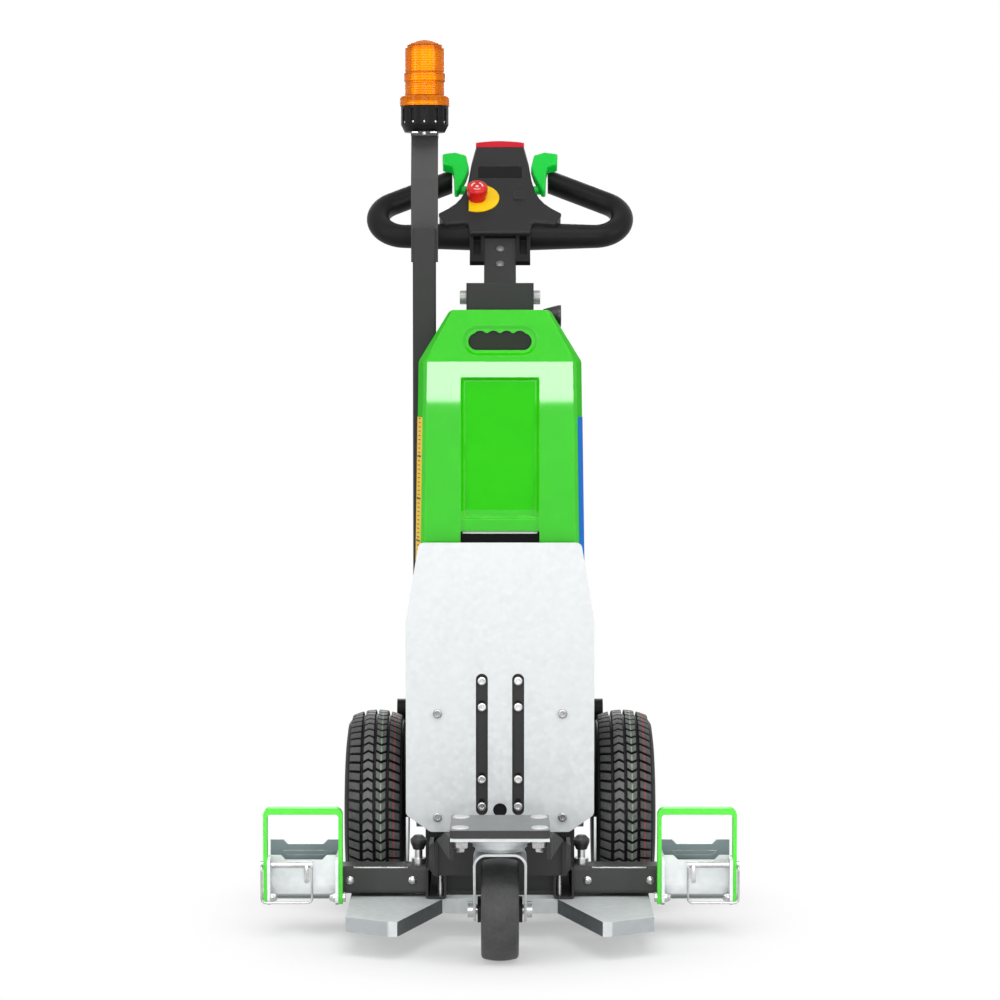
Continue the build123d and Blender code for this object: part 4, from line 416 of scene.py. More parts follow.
def zinc_sheet(name, tones, roughness, metallic, dark=None):
    """Galvanised sheet: crystals of different tone and gloss, faint streaks, painted shade in its corners
    and on chosen walls, and painted highlights on its edges.
    """
    material, tree, shader = start_material(name, Metallic=metallic, specular=0.2)
    spangle = use_group(tree, SPANGLE, Cell_Scale=160.0, Streak_Scale=90.0)
    soft = use_group(tree, EDGES, Radius=0.0008, Breakup=80.0)
    tone = mottled(tree, 7.0, 0.4)
    colour = mix(tree, spangle["Tone"], tones[0], tones[1])
    colour = mix(tree, between(tree, tone, 0.0, 0.5), colour, tones[2])
    # painted shade: darker where ambient occlusion finds the sheet's corners
    corner = add_node(tree, "ShaderNodeAmbientOcclusion", {"Distance": 0.05}, samples=6).outputs["AO"]
    colour = mix(tree, ramp(tree, corner, 0.0, 0.5), CORNER_SHADE, colour)
    turned = face_turn(tree)
    axes = split(tree, object_place(tree))
    if dark == "slanted":
        # painted shade: the slanted inner walls beside the castor are dark, as if mirroring the dark
        # underside,
        #         and the front walls are darkened but for their inner corners, which stay light as a painted
        #         highlight
        across = math(tree, "ABSOLUTE", axes["X"])
        past = ramp(tree, across, TRAY_CORNER - TRAY_SOFT, TRAY_CORNER + TRAY_SOFT, 0.22, 1.0)
        front = times(tree, ramp(tree, turned["Y"], -0.8, -0.9), past)
        colour = mix(tree, times(tree, front, 0.85), colour, FRONT_SHADE)
        slanted = within(tree, math(tree, "ABSOLUTE", turned["X"]), 0.6, 0.97, 0.02)
        colour = mix(tree, times(tree, slanted, 0.92), colour, SLANT_SHADE)
    if dark == "rear":
        # painted shade: the back wall is darker on its inner face, and faces that look down are dark
        rear = ramp(tree, axes["Y"], POCKET_WALL - WALL_SOFT, POCKET_WALL)
        inner = times(tree, rear, ramp(tree, turned["Y"], -0.3, -0.6))
        colour = mix(tree, inner, colour, WALL_SHADE)
        under = ramp(tree, turned["Z"], -0.5, -0.7, 0.0, 0.85)
        colour = mix(tree, under, colour, UNDER_SHADE)
    # painted highlight: the sheet's edges are made pale
    colour = mix(tree, soft["Edge"], colour, ZINC_EDGE_HIGHLIGHT)
    gloss = add_node(tree, "ShaderNodeMix", {0: 0.5, 2: spangle["Tone"], 3: spangle["Streak"]}).outputs[0]
    rough = ramp(tree, gloss, 0.2, 0.8, *roughness)
    finish_surface(tree, shader, colour, rough, soft["Normal"], (500.0, 0.1))
    return material


case_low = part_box("battery_case")[0]
GRIP_HALF = 0.0445
GRIP_HEIGHTS = (0.740, 0.772)
GRIP_DEPTHS = (0.019, 0.0415)
LATCH_HALF = 0.0513
LATCH_TOP = 0.5093
LATCH_DEPTHS = (0.0034, 0.0125)
PANEL_HALF = 0.0512
PANEL_HEIGHTS = (0.537, 0.7092)
TURNED_ROUGH = 0.6


def case_green():
    """Glossy green moulding, with painted shade making it black inside the hand grip and the latch slot, a
    painted highlight on its edges, duller on its panel and where it turns away from the front."""
    material, tree, shader = start_material("case_green", Coat_Weight=1.0, Coat_Roughness=0.025,
                                            specular=0.06)
    axes = split(tree, object_place(tree))
    across = math(tree, "ABSOLUTE", axes["X"])
    depth = math(tree, "SUBTRACT", axes["Y"], case_low.y)
    grip = times(tree, within(tree, axes["Z"], *GRIP_HEIGHTS), within(tree, depth, *GRIP_DEPTHS, 0.002))
    grip = times(tree, grip, within(tree, across, -1.0, GRIP_HALF))
    latch = times(tree, within(tree, axes["Z"], 0.0, LATCH_TOP), within(tree, depth, *LATCH_DEPTHS))
    latch = times(tree, latch, within(tree, across, -1.0, LATCH_HALF))
    inside = math(tree, "MAXIMUM", grip, latch)
    tone = mottled(tree, 4.0, 0.3)
    soft = use_group(tree, EDGES, Radius=0.0035, Breakup=30.0)
    colour = mix(tree, tone, (0.018, 0.47, 0.001, 1), (0.026, 0.52, 0.003, 1))
    # painted highlight: the edges are made a paler green
    colour = mix(tree, times(tree, soft["Edge"], 0.6), colour, (0.14, 0.80, 0.07, 1))
    # painted shade: near black inside the hand grip and the latch slot
    colour = mix(tree, inside, colour, 0.006)
    turned = ramp(tree, face_turn(tree)["Y"], -0.75, -0.55)
    rough = between(tree, tone, 0.32, 0.40)
    rough = math(tree, "MAXIMUM", rough, times(tree, turned, TURNED_ROUGH))
    finish_surface(tree, shader, colour, rough, soft["Normal"], (260.0, 0.04))
    panel = times(tree, within(tree, axes["Z"], *PANEL_HEIGHTS), within(tree, across, -1.0, PANEL_HALF))
    dull = math(tree, "MAXIMUM", inside, times(tree, panel, 0.9))
    dull = math(tree, "MAXIMUM", dull, turned)
    tree.links.new(math(tree, "SUBTRACT", 1.0, dull), shader.inputs["Coat Weight"])
    return material


LENS_RING_STEP = 0.0032
LENS_RIBS = 16.0
LENS_STEPS = (0.0140, 0.032, 0.045)
LENS_CAP = 0.0125
LENS_LINE_HALF = 0.001


def amber_lens():
    """Clear amber plastic over a duller core: fine level rings, upright ribs streaked with painted sheen,
    and painted shade in dark lines at the steps.
    """
    material, tree, shader = start_material("amber_lens", Transmission_Weight=0.55, IOR=1.25, specular=0.15)
    low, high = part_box("beacon_lens")
    middle = (low + high) / 2
    axes = split(tree, object_place(tree))
    rings = math(tree, "SINE", times(tree, axes["Z"], 2 * pi / LENS_RING_STEP))
    turn = math(tree, "ARCTAN2", math(tree, "SUBTRACT", axes["X"], middle.x),
                math(tree, "SUBTRACT", axes["Y"], middle.y))
    ribs = math(tree, "SINE", times(tree, turn, LENS_RIBS))
    tone = mottled(tree, 30.0, 0.2)
    colour = mix(tree, tone, (0.68, 0.155, 0.0, 1), (0.80, 0.225, 0.0, 1))
    # painted sheen: the ribs are streaked a paler amber
    colour = mix(tree, ramp(tree, ribs, 0.2, 0.9, 0.0, 0.3), colour, (0.95, 0.31, 0.002, 1))
    colour = mix(tree, ramp(tree, rings, 0.1, 1.0, 0.0, 0.4), colour, (0.50, 0.075, 0.0, 1))
    # painted shade: dark lines where the lens steps
    for step in [low.z + rise for rise in LENS_STEPS] + [high.z - LENS_CAP]:
        line = within(tree, axes["Z"], step - LENS_LINE_HALF, step + LENS_LINE_HALF, 0.0006)
        colour = mix(tree, times(tree, line, 0.6), colour, (0.30, 0.035, 0.0, 1))
    bump = add_node(tree, "ShaderNodeBump", {"Height": rings, "Strength": 0.25, "Distance": 0.0003})
    finish_surface(tree, shader, colour, between(tree, tone, 0.16, 0.24), bump.outputs[0])
    return material


STOP_X = -0.0315
STOP_ALONG = 0.182
STOP_HALF_H = 0.012
STOP_PLACE = on_tiller(STOP_X, STOP_ALONG, 0.0)
MARK_RING = (0.0066, 0.0082)
MARK_DOT = 0.0022
STOP_FACE = 0.004
stop_box = [np.array(corner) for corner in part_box("estop_button")]
STOP_TOP = float(np.dot((stop_box[0] + stop_box[1]) / 2 - STOP_PLACE, OUT)) + STOP_HALF_H


def stop_red():
    """Glossy red mushroom with three pale arcs and a dot moulded in its face."""
    material, tree, shader = start_material("stop_red", Coat_Weight=0.4, Coat_Roughness=0.06, specular=0.15)
    place = object_place(tree)
    from_mid = vector_math(tree, "SUBTRACT", place, STOP_PLACE)["Vector"]
    along = vector_math(tree, "DOT_PRODUCT", from_mid, ALONG)["Value"]
    out = vector_math(tree, "DOT_PRODUCT", from_mid, OUT)["Value"]
    across = split(tree, from_mid)["X"]
    squares = [times(tree, part, part) for part in (across, along)]
    reach = math(tree, "SQRT", math(tree, "ADD", *squares))
    turn = math(tree, "ARCTAN2", along, across)
    arcs = ramp(tree, math(tree, "SINE", times(tree, turn, 3.0)), -0.45, -0.25)
    marks = times(tree, within(tree, reach, *MARK_RING), arcs)
    marks = math(tree, "MAXIMUM", marks, within(tree, reach, -1.0, MARK_DOT))
    face = ramp(tree, out, STOP_TOP - STOP_FACE, STOP_TOP - STOP_FACE / 2)
    tone = mottled(tree, 40.0, 0.3)
    soft = use_group(tree, EDGES, Radius=0.0015, Breakup=60.0)
    colour = mix(tree, tone, (0.62, 0.008, 0.008, 1), (0.70, 0.012, 0.012, 1))
    colour = mix(tree, times(tree, marks, face), colour, (0.85, 0.75, 0.72, 1))
    finish_surface(tree, shader, colour, between(tree, tone, 0.22, 0.3), soft["Normal"])
    return material


LINE_HALF = 0.00075
GREEN_LINE = 0.0085
RED_LINE = 0.0252
OUTER_ROWS = (0.0160, 0.0182)


def tread_rubber():
    """Tyre rubber: greyer on the block tops, partly from wear and partly as painted sheen, with a pale green
    line and a red line on two rows.
    """
    material, tree, shader = start_material("tread_rubber", specular=0.2)
    tone = mottled(tree, 34.0, 0.5)
    colour = mix(tree, tone, (0.0065, 0.0065, 0.007, 1), (0.014, 0.014, 0.015, 1))
    across = add_node(tree, "ShaderNodeAttribute", attribute_name="across").outputs["Fac"]
    top = add_node(tree, "ShaderNodeAttribute", attribute_name="block_top").outputs["Fac"]
    topped = ramp(tree, top, 0.75, 1.0)
    # the block tops are greyer: partly wear, partly painted sheen; less so on the outer rows
    rubbed_and_lit = mix(tree, tone, (0.105, 0.105, 0.106, 1), (0.175, 0.175, 0.174, 1))
    row_share = ramp(tree, math(tree, "ABSOLUTE", across), *OUTER_ROWS, 0.92, 0.55)
    colour = mix(tree, times(tree, topped, row_share), colour, rubbed_and_lit)
    for middle, paint in ((GREEN_LINE, (0.25, 0.42, 0.24, 1)), (RED_LINE, (0.42, 0.055, 0.06, 1))):
        line = within(tree, across, middle - LINE_HALF, middle + LINE_HALF, 0.0003)
        line = times(tree, line, ramp(tree, tone, 0.0, 0.7, 0.35, 0.9))
        colour = mix(tree, times(tree, line, topped), colour, paint)
    finish_surface(tree, shader, colour, between(tree, tone, 0.48, 0.64), None, (1100.0, 0.2))
    return material


def knob_and_stem(name, axis, edge):
    """A black plastic knob with a painted highlight on its edges, on a bright steel stem, parted at a place
    on one axis.
    """
    material, tree, shader = start_material(name)
    axes = split(tree, object_place(tree))
    knob = ramp(tree, axes[axis], edge - SOFT, edge + SOFT)
    tone = mottled(tree, 40.0, 0.4)
    soft = use_group(tree, EDGES, Radius=0.001, Breakup=80.0)
    steel = mix(tree, tone, 0.5, 0.68)
    # painted highlight: the knob's edges are made lighter
    black = mix(tree, soft["Edge"], mix(tree, tone, 0.012, 0.02), 0.07)
    colour = mix(tree, knob, steel, black)
    tree.links.new(math(tree, "SUBTRACT", 1.0, knob), shader.inputs["Metallic"])
    finish_surface(tree, shader, colour, between(tree, knob, 0.28, 0.36), soft["Normal"], (1500.0, 0.1))
    return material


TICK_STEP = 0.0055
TICK_DEPTHS = (0.014, 0.026)
MARK_STEP = 0.055
MARK_DEPTHS = (0.009, 0.031)


def measured_strip():
    """Yellow strip with fine black ticks at even steps along its outer half."""
    material, tree, shader = start_material("yellow_strip", specular=0.05)
    axes = split(tree, object_place(tree))
    tone = mottled(tree, 20.0, 0.4)
    colour = mix(tree, tone, (0.86, 0.50, 0.004, 1), (0.94, 0.57, 0.008, 1))
    fine = math(tree, "FRACT", math(tree, "DIVIDE", axes["Z"], TICK_STEP))
    coarse = math(tree, "FRACT", math(tree, "DIVIDE", axes["Z"], MARK_STEP))
    depth = math(tree, "SUBTRACT", axes["Y"], case_low.y)
    ticks = within(tree, fine, 0.0, 0.24, 0.02)
    ticks = times(tree, ticks, within(tree, depth, *TICK_DEPTHS))
    marks = within(tree, coarse, 0.0, 0.045, 0.004)
    marks = times(tree, marks, within(tree, depth, *MARK_DEPTHS))
    colour = mix(tree, math(tree, "MAXIMUM", ticks, marks), colour, 0.02)
    finish_surface(tree, shader, colour, between(tree, tone, 0.30, 0.40))
    return material


# edge= is each finish's lighter edge colour: a painted highlight, broken in patches like wear
BLACK_COAT = coating("black_coat", (0.034, 0.042), (0.42, 0.52), grain=(1400.0, 0.22),
                     edge=0.08, specular=0.12)
# a lighter copy of the black coat: painted light on the arms and the beacon strap
LIT_BLACK_COAT = coating("pale_coat", (0.058, 0.070), (0.42, 0.52), grain=(1400.0, 0.22),
                    edge=0.12, specular=0.12)
# the nose plate's upward faces take a painted light grey, as if lit from above, and its edges a painted
# highlight
NOSE_COAT = coating("nose_coat", (0.040, 0.052), (0.38, 0.48), grain=(1400.0, 0.22),
                    edge=0.29, top=(0.27, 0.282, 0.288, 1), specular=0.15)
GREEN_BAIL = coating("bail_green", ((0.10, 0.76, 0.060, 1), (0.125, 0.82, 0.075, 1)), (0.36, 0.44),
                     grain=(1400.0, 0.15), edge=(0.22, 0.95, 0.17, 1), specular=0.15)
GREEN_PADDLE = coating("paddle_green", ((0.001, 0.56, 0.040, 1), (0.004, 0.64, 0.060, 1)), (0.30, 0.38),
                       edge=(0.04, 0.74, 0.13, 1), edge_radius=0.002, specular=0.2)
BLACK_PLASTIC = coating("black_plastic", (0.006, 0.010), (0.36, 0.48), grain=(1800.0, 0.3),
                        edge=0.03, edge_radius=0.002, specular=0.12)
COVER_PLASTIC = coating("cover_plastic", (0.018, 0.024), (0.38, 0.48), grain=(2200.0, 0.3),
                        edge=0.08, specular=0.15)
LABEL_GLOSS = coating("label_gloss", (0.002, 0.004), (0.10, 0.18), mottle=30.0, specular=0.12)
RED_RIM = coating("rim_red", ((0.52, 0.006, 0.020, 1), (0.60, 0.010, 0.026, 1)), (0.28, 0.36),
                  edge=(0.75, 0.10, 0.10, 1), specular=0.15)
YELLOW_PLATE = coating("yellow_plate", ((0.86, 0.56, 0.004, 1), (0.93, 0.63, 0.010, 1)), (0.30, 0.40),
                       specular=0.2)
BLUE_STRIP = coating("blue_strip", ((0.0, 0.15, 0.62, 1), (0.0, 0.19, 0.72, 1)), (0.5, 0.6), specular=0.03)
WHITE_STRIP = coating("white_strip", (0.76, 0.84), (0.35, 0.45), specular=0.2)
CASTOR_RUBBER = coating("castor_rubber", (0.050, 0.080), (0.38, 0.52), mottle=22.0,
                        grain=(900.0, 0.2), specular=0.2)
CASTOR_HUB = coating("castor_hub", (0.02, 0.03), (0.42, 0.52), grain=(1600.0, 0.3), specular=0.15)
MOTOR_PAINT = coating("motor_paint", (0.018, 0.026), (0.36, 0.48), grain=(1100.0, 0.3),
                      edge=0.09, specular=0.2)
BRIGHT_STEEL = coating("bright_steel", (0.42, 0.60), (0.22, 0.34), mottle=60.0,
                       edge=0.85, edge_radius=0.0006, Metallic=0.9)
# a darker copy of the bright steel: painted shade for the front plate's screws
SHADED_STEEL = coating("screw_steel", (0.26, 0.42), (0.24, 0.36), mottle=60.0,
                      edge=0.75, edge_radius=0.0006, Metallic=0.9)
DULL_STEEL = coating("dull_steel", (0.10, 0.17), (0.34, 0.46), mottle=60.0, edge=0.40,
                     edge_radius=0.0006, Metallic=0.6)
# a paler, less metallic copy of the steel: the nose bolts' painted highlight
LIT_STEEL = coating("pale_steel", (0.62, 0.72), (0.28, 0.38), mottle=20.0, edge=0.85,
                     edge_radius=0.0006, Metallic=0.3)
RIM_PAINT = coating("rim_paint", (0.36, 0.44), (0.34, 0.44), grain=(1200.0, 0.2),
                    edge=0.65, Metallic=0.3, specular=0.3)
CAST_ALLOY = coating("cast_alloy", (0.24, 0.34), (0.45, 0.6), mottle=30.0, grain=(700.0, 0.6),
                     edge=0.5, Metallic=0.6)
ZINC_TONES = ((0.58, 0.605, 0.615, 1), (0.69, 0.715, 0.725, 1), (0.645, 0.67, 0.68, 1))
TRAY_TONES = ((0.63, 0.66, 0.67, 1), (0.75, 0.78, 0.79, 1), (0.69, 0.72, 0.73, 1))
POCKET_TONES = ((0.76, 0.79, 0.80, 1), (0.88, 0.91, 0.92, 1), (0.82, 0.85, 0.86, 1))
ZINC = zinc_sheet("zinc", ZINC_TONES, (0.36, 0.54), 0.2)
ZINC_TRAY = zinc_sheet("zinc_tray", TRAY_TONES, (0.45, 0.60), 0.06, dark="slanted")
ZINC_POCKET = zinc_sheet("zinc_pocket", POCKET_TONES, (0.36, 0.52), 0.15, dark="rear")
STOP_RED = stop_red()
GREEN_CASE = case_green()
AMBER = amber_lens()
TREAD_RUBBER = tread_rubber()
YELLOW_STRIP = measured_strip()
LOCK_KNOB_H = 0.018
LOCK_FINISH = knob_and_stem("lock_knob", "Z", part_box("arm_locks")[1].z - LOCK_KNOB_H)
PLUNGER_KNOB_L = 0.024
PLUNGER_FINISH = knob_and_stem("plunger_knob", "X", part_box("tilt_plunger")[1].x - PLUNGER_KNOB_L)

NODE_FINISHES = (
    (BLACK_COAT, ("frame_rails", "neck_plates", "slot_bars", "body_shell", "column", "rear_bar",
                  "beacon_post", "tiller_tube")),
    (LIT_BLACK_COAT, ("arms", "beacon_strap")),
    (NOSE_COAT, ("nose_plate",)),
    (ZINC, ("caster_plate", "front_plate", "caster_fork")),
    (ZINC_TRAY, ("skid_plate",)),
    (ZINC_POCKET, ("pockets",)),
    (GREEN_CASE, ("battery_case",)),
    (GREEN_BAIL, ("bails",)),
    (GREEN_PADDLE, ("thumb_paddles",)),
    (CASTOR_RUBBER, ("caster_tread",)),
    (CASTOR_HUB, ("caster_hub",)),
    (RIM_PAINT, ("rim_left", "rim_right", "tilt_bolt")),
    (BRIGHT_STEEL, ("shaft_left", "shaft_right", "bail_bolts", "lock_pins", "caster_axle")),
    (CAST_ALLOY, ("transaxle",)),
    (MOTOR_PAINT, ("drive_motor", "battery_block")),
    (BLACK_PLASTIC, ("rear_cover", "rear_bar_caps", "beacon_base", "handle_frame")),
    (COVER_PLASTIC, ("head_cover",)),
    (AMBER, ("beacon_lens",)),
    (STOP_RED, ("estop_button",)),
    (RED_RIM, ("belly_button",)),
    (YELLOW_PLATE, ("estop_plate",)),
    (PLUNGER_FINISH, ("tilt_plunger",)),
    (LOCK_FINISH, ("arm_locks",)),
)
for finish, names in NODE_FINISHES:
    for node_name in names:
        for socket in nodes[node_name].material_slots:
            socket.material = finish

# Tyres: four rows of blocks between three grooves, on a round-shouldered carcass
TYRE_R = axle[2]
SHOULDER_R = 0.122
SHOULDER_HALF = 0.034
BLOCKS = 60
BLOCK_H = 0.0058
ROWS = (
    # left edge, right edge, slope down to the right, dip of its middle
    (-0.0338, -0.0182, 0.0036, 0.0),
    (-0.0156, -0.0013, 0.0, -0.0040),
    (0.0013, 0.0156, 0.0, 0.0040),
    (0.0182, 0.0338, 0.0046, 0.0),
)
BLOCK_ACROSS = (0.0, 0.05, 0.10, 0.5, 0.90, 0.95, 1.0)
BLOCK_LIFT = (0.0, 0.9, 1.0, 1.0, 1.0, 0.9, 0.0)
CELL_ALONG = (0.0, 0.20, 0.235, 0.27, 0.6, 0.93, 0.965)
CELL_LIFT = (0.0, 0.0, 0.9, 1.0, 1.0, 1.0, 0.9)
WALL = (
    # half width, radius, from the bead to the shoulder
    (0.0250, 0.0520), (0.0252, 0.0575), (0.0315, 0.0655), (0.0368, 0.0755), (0.0372, 0.0770),
    (0.0385, 0.0785), (0.0400, 0.0870), (0.0403, 0.0940), (0.0394, 0.1020), (0.0378, 0.1072),
    (0.0384, 0.1084), (0.0382, 0.1112), (0.0352, 0.1160),
)


def tyre_shape(centre_x):
    """A section carried round the axle. One parameter runs across it, from wall to wall, the other round
    the wheel; the radius is a crowned carcass, raised on the blocks, and the angle is sheared by each row's
    slope and dip, so that block edges lie on the grid's lines."""
    share = np.array(BLOCK_ACROSS)
    edges = np.array([row[:2] for row in ROWS])
    across = (edges[:, :1] + (edges[:, 1:] - edges[:, :1]) * share).ravel()
    lift = np.tile(BLOCK_LIFT, len(ROWS))
    slope = np.repeat([row[2] for row in ROWS], len(share))
    dip = np.repeat([row[3] for row in ROWS], len(share))
    from_mid = np.tile(2 * share - 1, len(ROWS))
    shift = -slope / 2 * from_mid + dip * (np.abs(from_mid) - 0.5)
    crown = SHOULDER_R + (TYRE_R - SHOULDER_R) * (1 - (across / SHOULDER_HALF) ** 2)
    wall_half, wall_r = np.array(WALL).T
    section_x = np.concatenate([-wall_half, across, wall_half[::-1]])
    flat = np.zeros(len(WALL))
    section_r = np.concatenate([wall_r, crown - BLOCK_H, wall_r[::-1]])
    section_lift = np.concatenate([flat, lift, flat])
    section_shift = np.concatenate([flat, shift, flat])
    turn = ((np.arange(BLOCKS)[:, None] + np.array(CELL_ALONG)) / BLOCKS * 2 * pi).ravel()
    raised = section_lift[:, None] * np.tile(CELL_LIFT, BLOCKS)[None]
    radius = section_r[:, None] + BLOCK_H * raised
    angle = turn[None] + section_shift[:, None] / TYRE_R
    x = np.broadcast_to(section_x[:, None], radius.shape)
    y = axle[1] - radius * np.cos(angle)
    z = axle[2] + radius * np.sin(angle)
    points = np.stack([x + centre_x, y, z], -1)
    faces = grid_faces(len(section_x), len(turn), wrap_rows=True)
    return (points.reshape(-1, 3), faces), {"across": x, "block_top": raised}


for sign, side in SIDE_NAMES:
    tread, marks = tyre_shape(sign * abs(axle[0]))
    add_piece(f"tread_{side}", tread, f"{side}_wheel", TREAD_RUBBER, TREAD_ANGLE, marks,
              f"tyre_{side}")

# Fastenings: profiles of scale and height, for a head of unit radius
SOCKET_HEAD = ((0, 0), (1, 0), (1, 0.3), (0.92, 0.48), (0.62, 0.55), (0.5, 0.52), (0.46, 0.2), (0, 0.2))
LOW_DOME = ((0, 0), (1, 0), (0.99, 0.12), (0.88, 0.28), (0.62, 0.42), (0.3, 0.49), (0, 0.5))
FLAT_DOME = ((0, 0), (1, 0), (0.98, 0.10), (0.90, 0.17), (0.6, 0.22), (0, 0.24))
DOME_NUT = ((0, 0), (1, 0), (1, 0.5), (0.86, 0.55), (0.84, 0.8), (0.7, 1.1), (0.4, 1.28), (0, 1.32))
FLANGE_NUT = ((0, 0), (1.1, 0), (1.1, 0.16), (0.92, 0.24), (0.9, 0.75), (0.8, 0.88), (0.5, 0.9),
              (0.48, 1.25), (0.4, 1.32), (0, 1.32))
BALL = ((0, -0.8), (0.6, -0.8), (1, 0), (0.8, 0.6), (0, 1))
HEX = 6
FINE_ROUND = 24


def head(profile, radius, across, upward, steps=20):
    """A screw head: its profile carried round, at its real radius, out of the plane of two directions."""
    return stacked(ring(steps), radius * np.array(profile), across, upward)


def add_heads(name, shape, places, body="chassis", smooth_angle=ROUND_ANGLE, steel=BRIGHT_STEEL):
    """The same steel head at each of its places."""
    add_piece(name, scattered(shape, places), body, steel, smooth_angle)


# Front plate: its own screws, and those in the bars behind its slots
PLATE_SCREW_R = 0.0060
PLATE_SCREW_INSET = 0.008
PLATE_SCREW_RISES = (0.0195, 0.1545)
SLOT_SCREW_R = 0.0057
SLOT_SCREW_RISES = (0.0116, 0.0468, 0.1413, 0.1753)
SLOT_RISE = 0.0215
SLOT_X = 0.0235
plate_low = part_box("front_plate")[0]
bars_low, bars_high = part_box("slot_bars")
slot_low = plate_low.z + SLOT_RISE
plate_x = bars_high.x - PLATE_SCREW_INSET
plate_places = [(sign * plate_x, plate_low.y, plate_low.z + rise) for sign in SIDES
                for rise in PLATE_SCREW_RISES]
slot_places = [(sign * SLOT_X, bars_low.y, slot_low + rise) for sign in SIDES for rise in SLOT_SCREW_RISES]
add_heads("plate_screws", head(SOCKET_HEAD, PLATE_SCREW_R, RIGHT, UP), plate_places, steel=SHADED_STEEL)
add_heads("slot_screws", head(SOCKET_HEAD, SLOT_SCREW_R, RIGHT, UP), slot_places)

# Nose: flat bolt heads on top, nuts under the castor's plate
NOSE_BOLT_R = 0.0104
NOSE_NUT_R = 0.0112
NOSE_BOLT_X = 0.0475
NOSE_BOLT_DEPTHS = (0.017, 0.095)
CASTER_PLATE_T = 0.004
nose_low, nose_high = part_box("nose_plate")
nose_spots = [(sign * NOSE_BOLT_X, nose_low.y + depth) for sign in SIDES for depth in NOSE_BOLT_DEPTHS]
nut_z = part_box("caster_plate")[1].z - CASTER_PLATE_T
add_heads("nose_bolts", head(FLAT_DOME, NOSE_BOLT_R, RIGHT, BACK, FINE_ROUND),
          [(x, y, nose_high.z) for x, y in nose_spots], steel=LIT_STEEL)
add_heads("nose_nuts", head(FLANGE_NUT, NOSE_NUT_R, RIGHT, -BACK, HEX),
          [(x, y, nut_z) for x, y in nose_spots], smooth_angle=FACET_ANGLE)

# Arms: bolts, bright strips as painted highlights along their front edges, stop plates, and the upright
# bolts in the rails
ARM_BOLT_R = 0.0056
ARM_BOLT_XS = (0.1115, 0.191)
ARM_EDGE_SIZE = (0.070, 0.0016, 0.0006)
ARM_EDGE_X = 0.1515
ARM_EDGE_DROP = 0.0012
ARM_STOP_SIZE = (0.006, 0.058, 0.002)
ARM_STOP_T = 0.003
ARM_STOP_X = 0.1205
ARM_STOP_RISE = 0.0285
RAIL_BOLT_R = 0.0032
RAIL_BOLT_RADII = 10.6
RAIL_BOLT_X = 0.0755
RAIL_BOLT_DEPTH = 0.012
RAIL_BOLT_DROP = 0.001
arm_low, arm_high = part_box("arms")
arm_z = (arm_low.z + arm_high.z) / 2
edge_z = arm_high.z - ARM_EDGE_DROP
stop_y = arm_high.y - ARM_STOP_SIZE[0] / 2
stop_z = arm_high.z + ARM_STOP_RISE
add_heads("arm_bolts", head(LOW_DOME, ARM_BOLT_R, RIGHT, UP),
          [(sign * x, arm_low.y, arm_z) for sign in SIDES for x in ARM_BOLT_XS])
# painted highlight: thin bright steel strips along the arms' top front edges
add_heads("arm_edges", plate(ARM_EDGE_SIZE, eased(0.0005, 0.0007, 0.99)),
          [(sign * ARM_EDGE_X, arm_low.y, edge_z) for sign in SIDES])
arm_stop = plate(ARM_STOP_SIZE, slab(ARM_STOP_T), BACK)
stop_places = [(sign * ARM_STOP_X, stop_y, stop_z) for sign in SIDES]
add_piece("arm_stops", scattered(arm_stop, stop_places), "chassis", ZINC)
rail_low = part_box("frame_rails")[0]
rail_y = rail_low.y + RAIL_BOLT_DEPTH
add_heads("rail_bolts", head(slab(RAIL_BOLT_RADII), RAIL_BOLT_R, RIGHT, BACK, 16),
          [(sign * RAIL_BOLT_X, rail_y, arm_low.z - RAIL_BOLT_DROP) for sign in SIDES])

# Tiller tube: two domed screws on its top
TUBE_SCREW_R = 0.0064
TUBE_SCREWS_ALONG = (0.0524, 0.0848)
TUBE_TOP = 0.015
add_heads("tube_screws", head(LOW_DOME, TUBE_SCREW_R, RIGHT, ALONG),
          [on_tiller(0, along, TUBE_TOP) for along in TUBE_SCREWS_ALONG], "tiller", steel=DULL_STEEL)

# Wheel nuts on the rims
WHEEL_NUTS = 4
WHEEL_NUT_R = 0.0062
NUT_CIRCLE_R = 0.034
RIM_FACE = 0.004
nut_cos, nut_sin = turns(WHEEL_NUTS, radians(45))
for sign, side in SIDE_NAMES:
    hub_x = sign * (abs(axle[0]) + RIM_FACE)
    around = np.stack([np.full(WHEEL_NUTS, hub_x), axle[1] + NUT_CIRCLE_R * nut_cos,
                       axle[2] + NUT_CIRCLE_R * nut_sin], -1)
    add_heads(f"wheel_nuts_{side}", head(FLANGE_NUT, WHEEL_NUT_R, sign * BACK, UP, HEX), around,
              f"{side}_wheel", FACET_ANGLE)

# Pockets: dome nuts on the gates' bolts, fillers in the back walls, and the clips that hang on the pins
BAIL_NUT_R = 0.0066
POCKET_INNER = 0.208
POCKET_OUTER = 0.290
WALL_T = 0.004
FILL_SIZE = (0.0595, 0.0066, 0.001)
FILL_T = 0.0036
FILL_X = 0.249
FILL_Z = 0.101
CLIP_SIZE = (0.0055, 0.024, 0.002)
CLIP_X = 0.2445
CLIP_Z = 0.085
CLIP_DEPTH = 0.0085
bolt_low, bolt_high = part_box("bail_bolts")
bolt_y = (bolt_low.y + bolt_high.y) / 2
bolt_z = (bolt_low.z + bolt_high.z) / 2
for sign, side in SIDE_NAMES:
    nuts = [scattered(head(DOME_NUT, BAIL_NUT_R, way * BACK, UP, FINE_ROUND), [(sign * x, bolt_y, bolt_z)])
            for way, x in ((-sign, POCKET_OUTER), (sign, POCKET_INNER))]
    add_piece(f"bail_nuts_{side}", gathered(*nuts), "chassis", BRIGHT_STEEL)
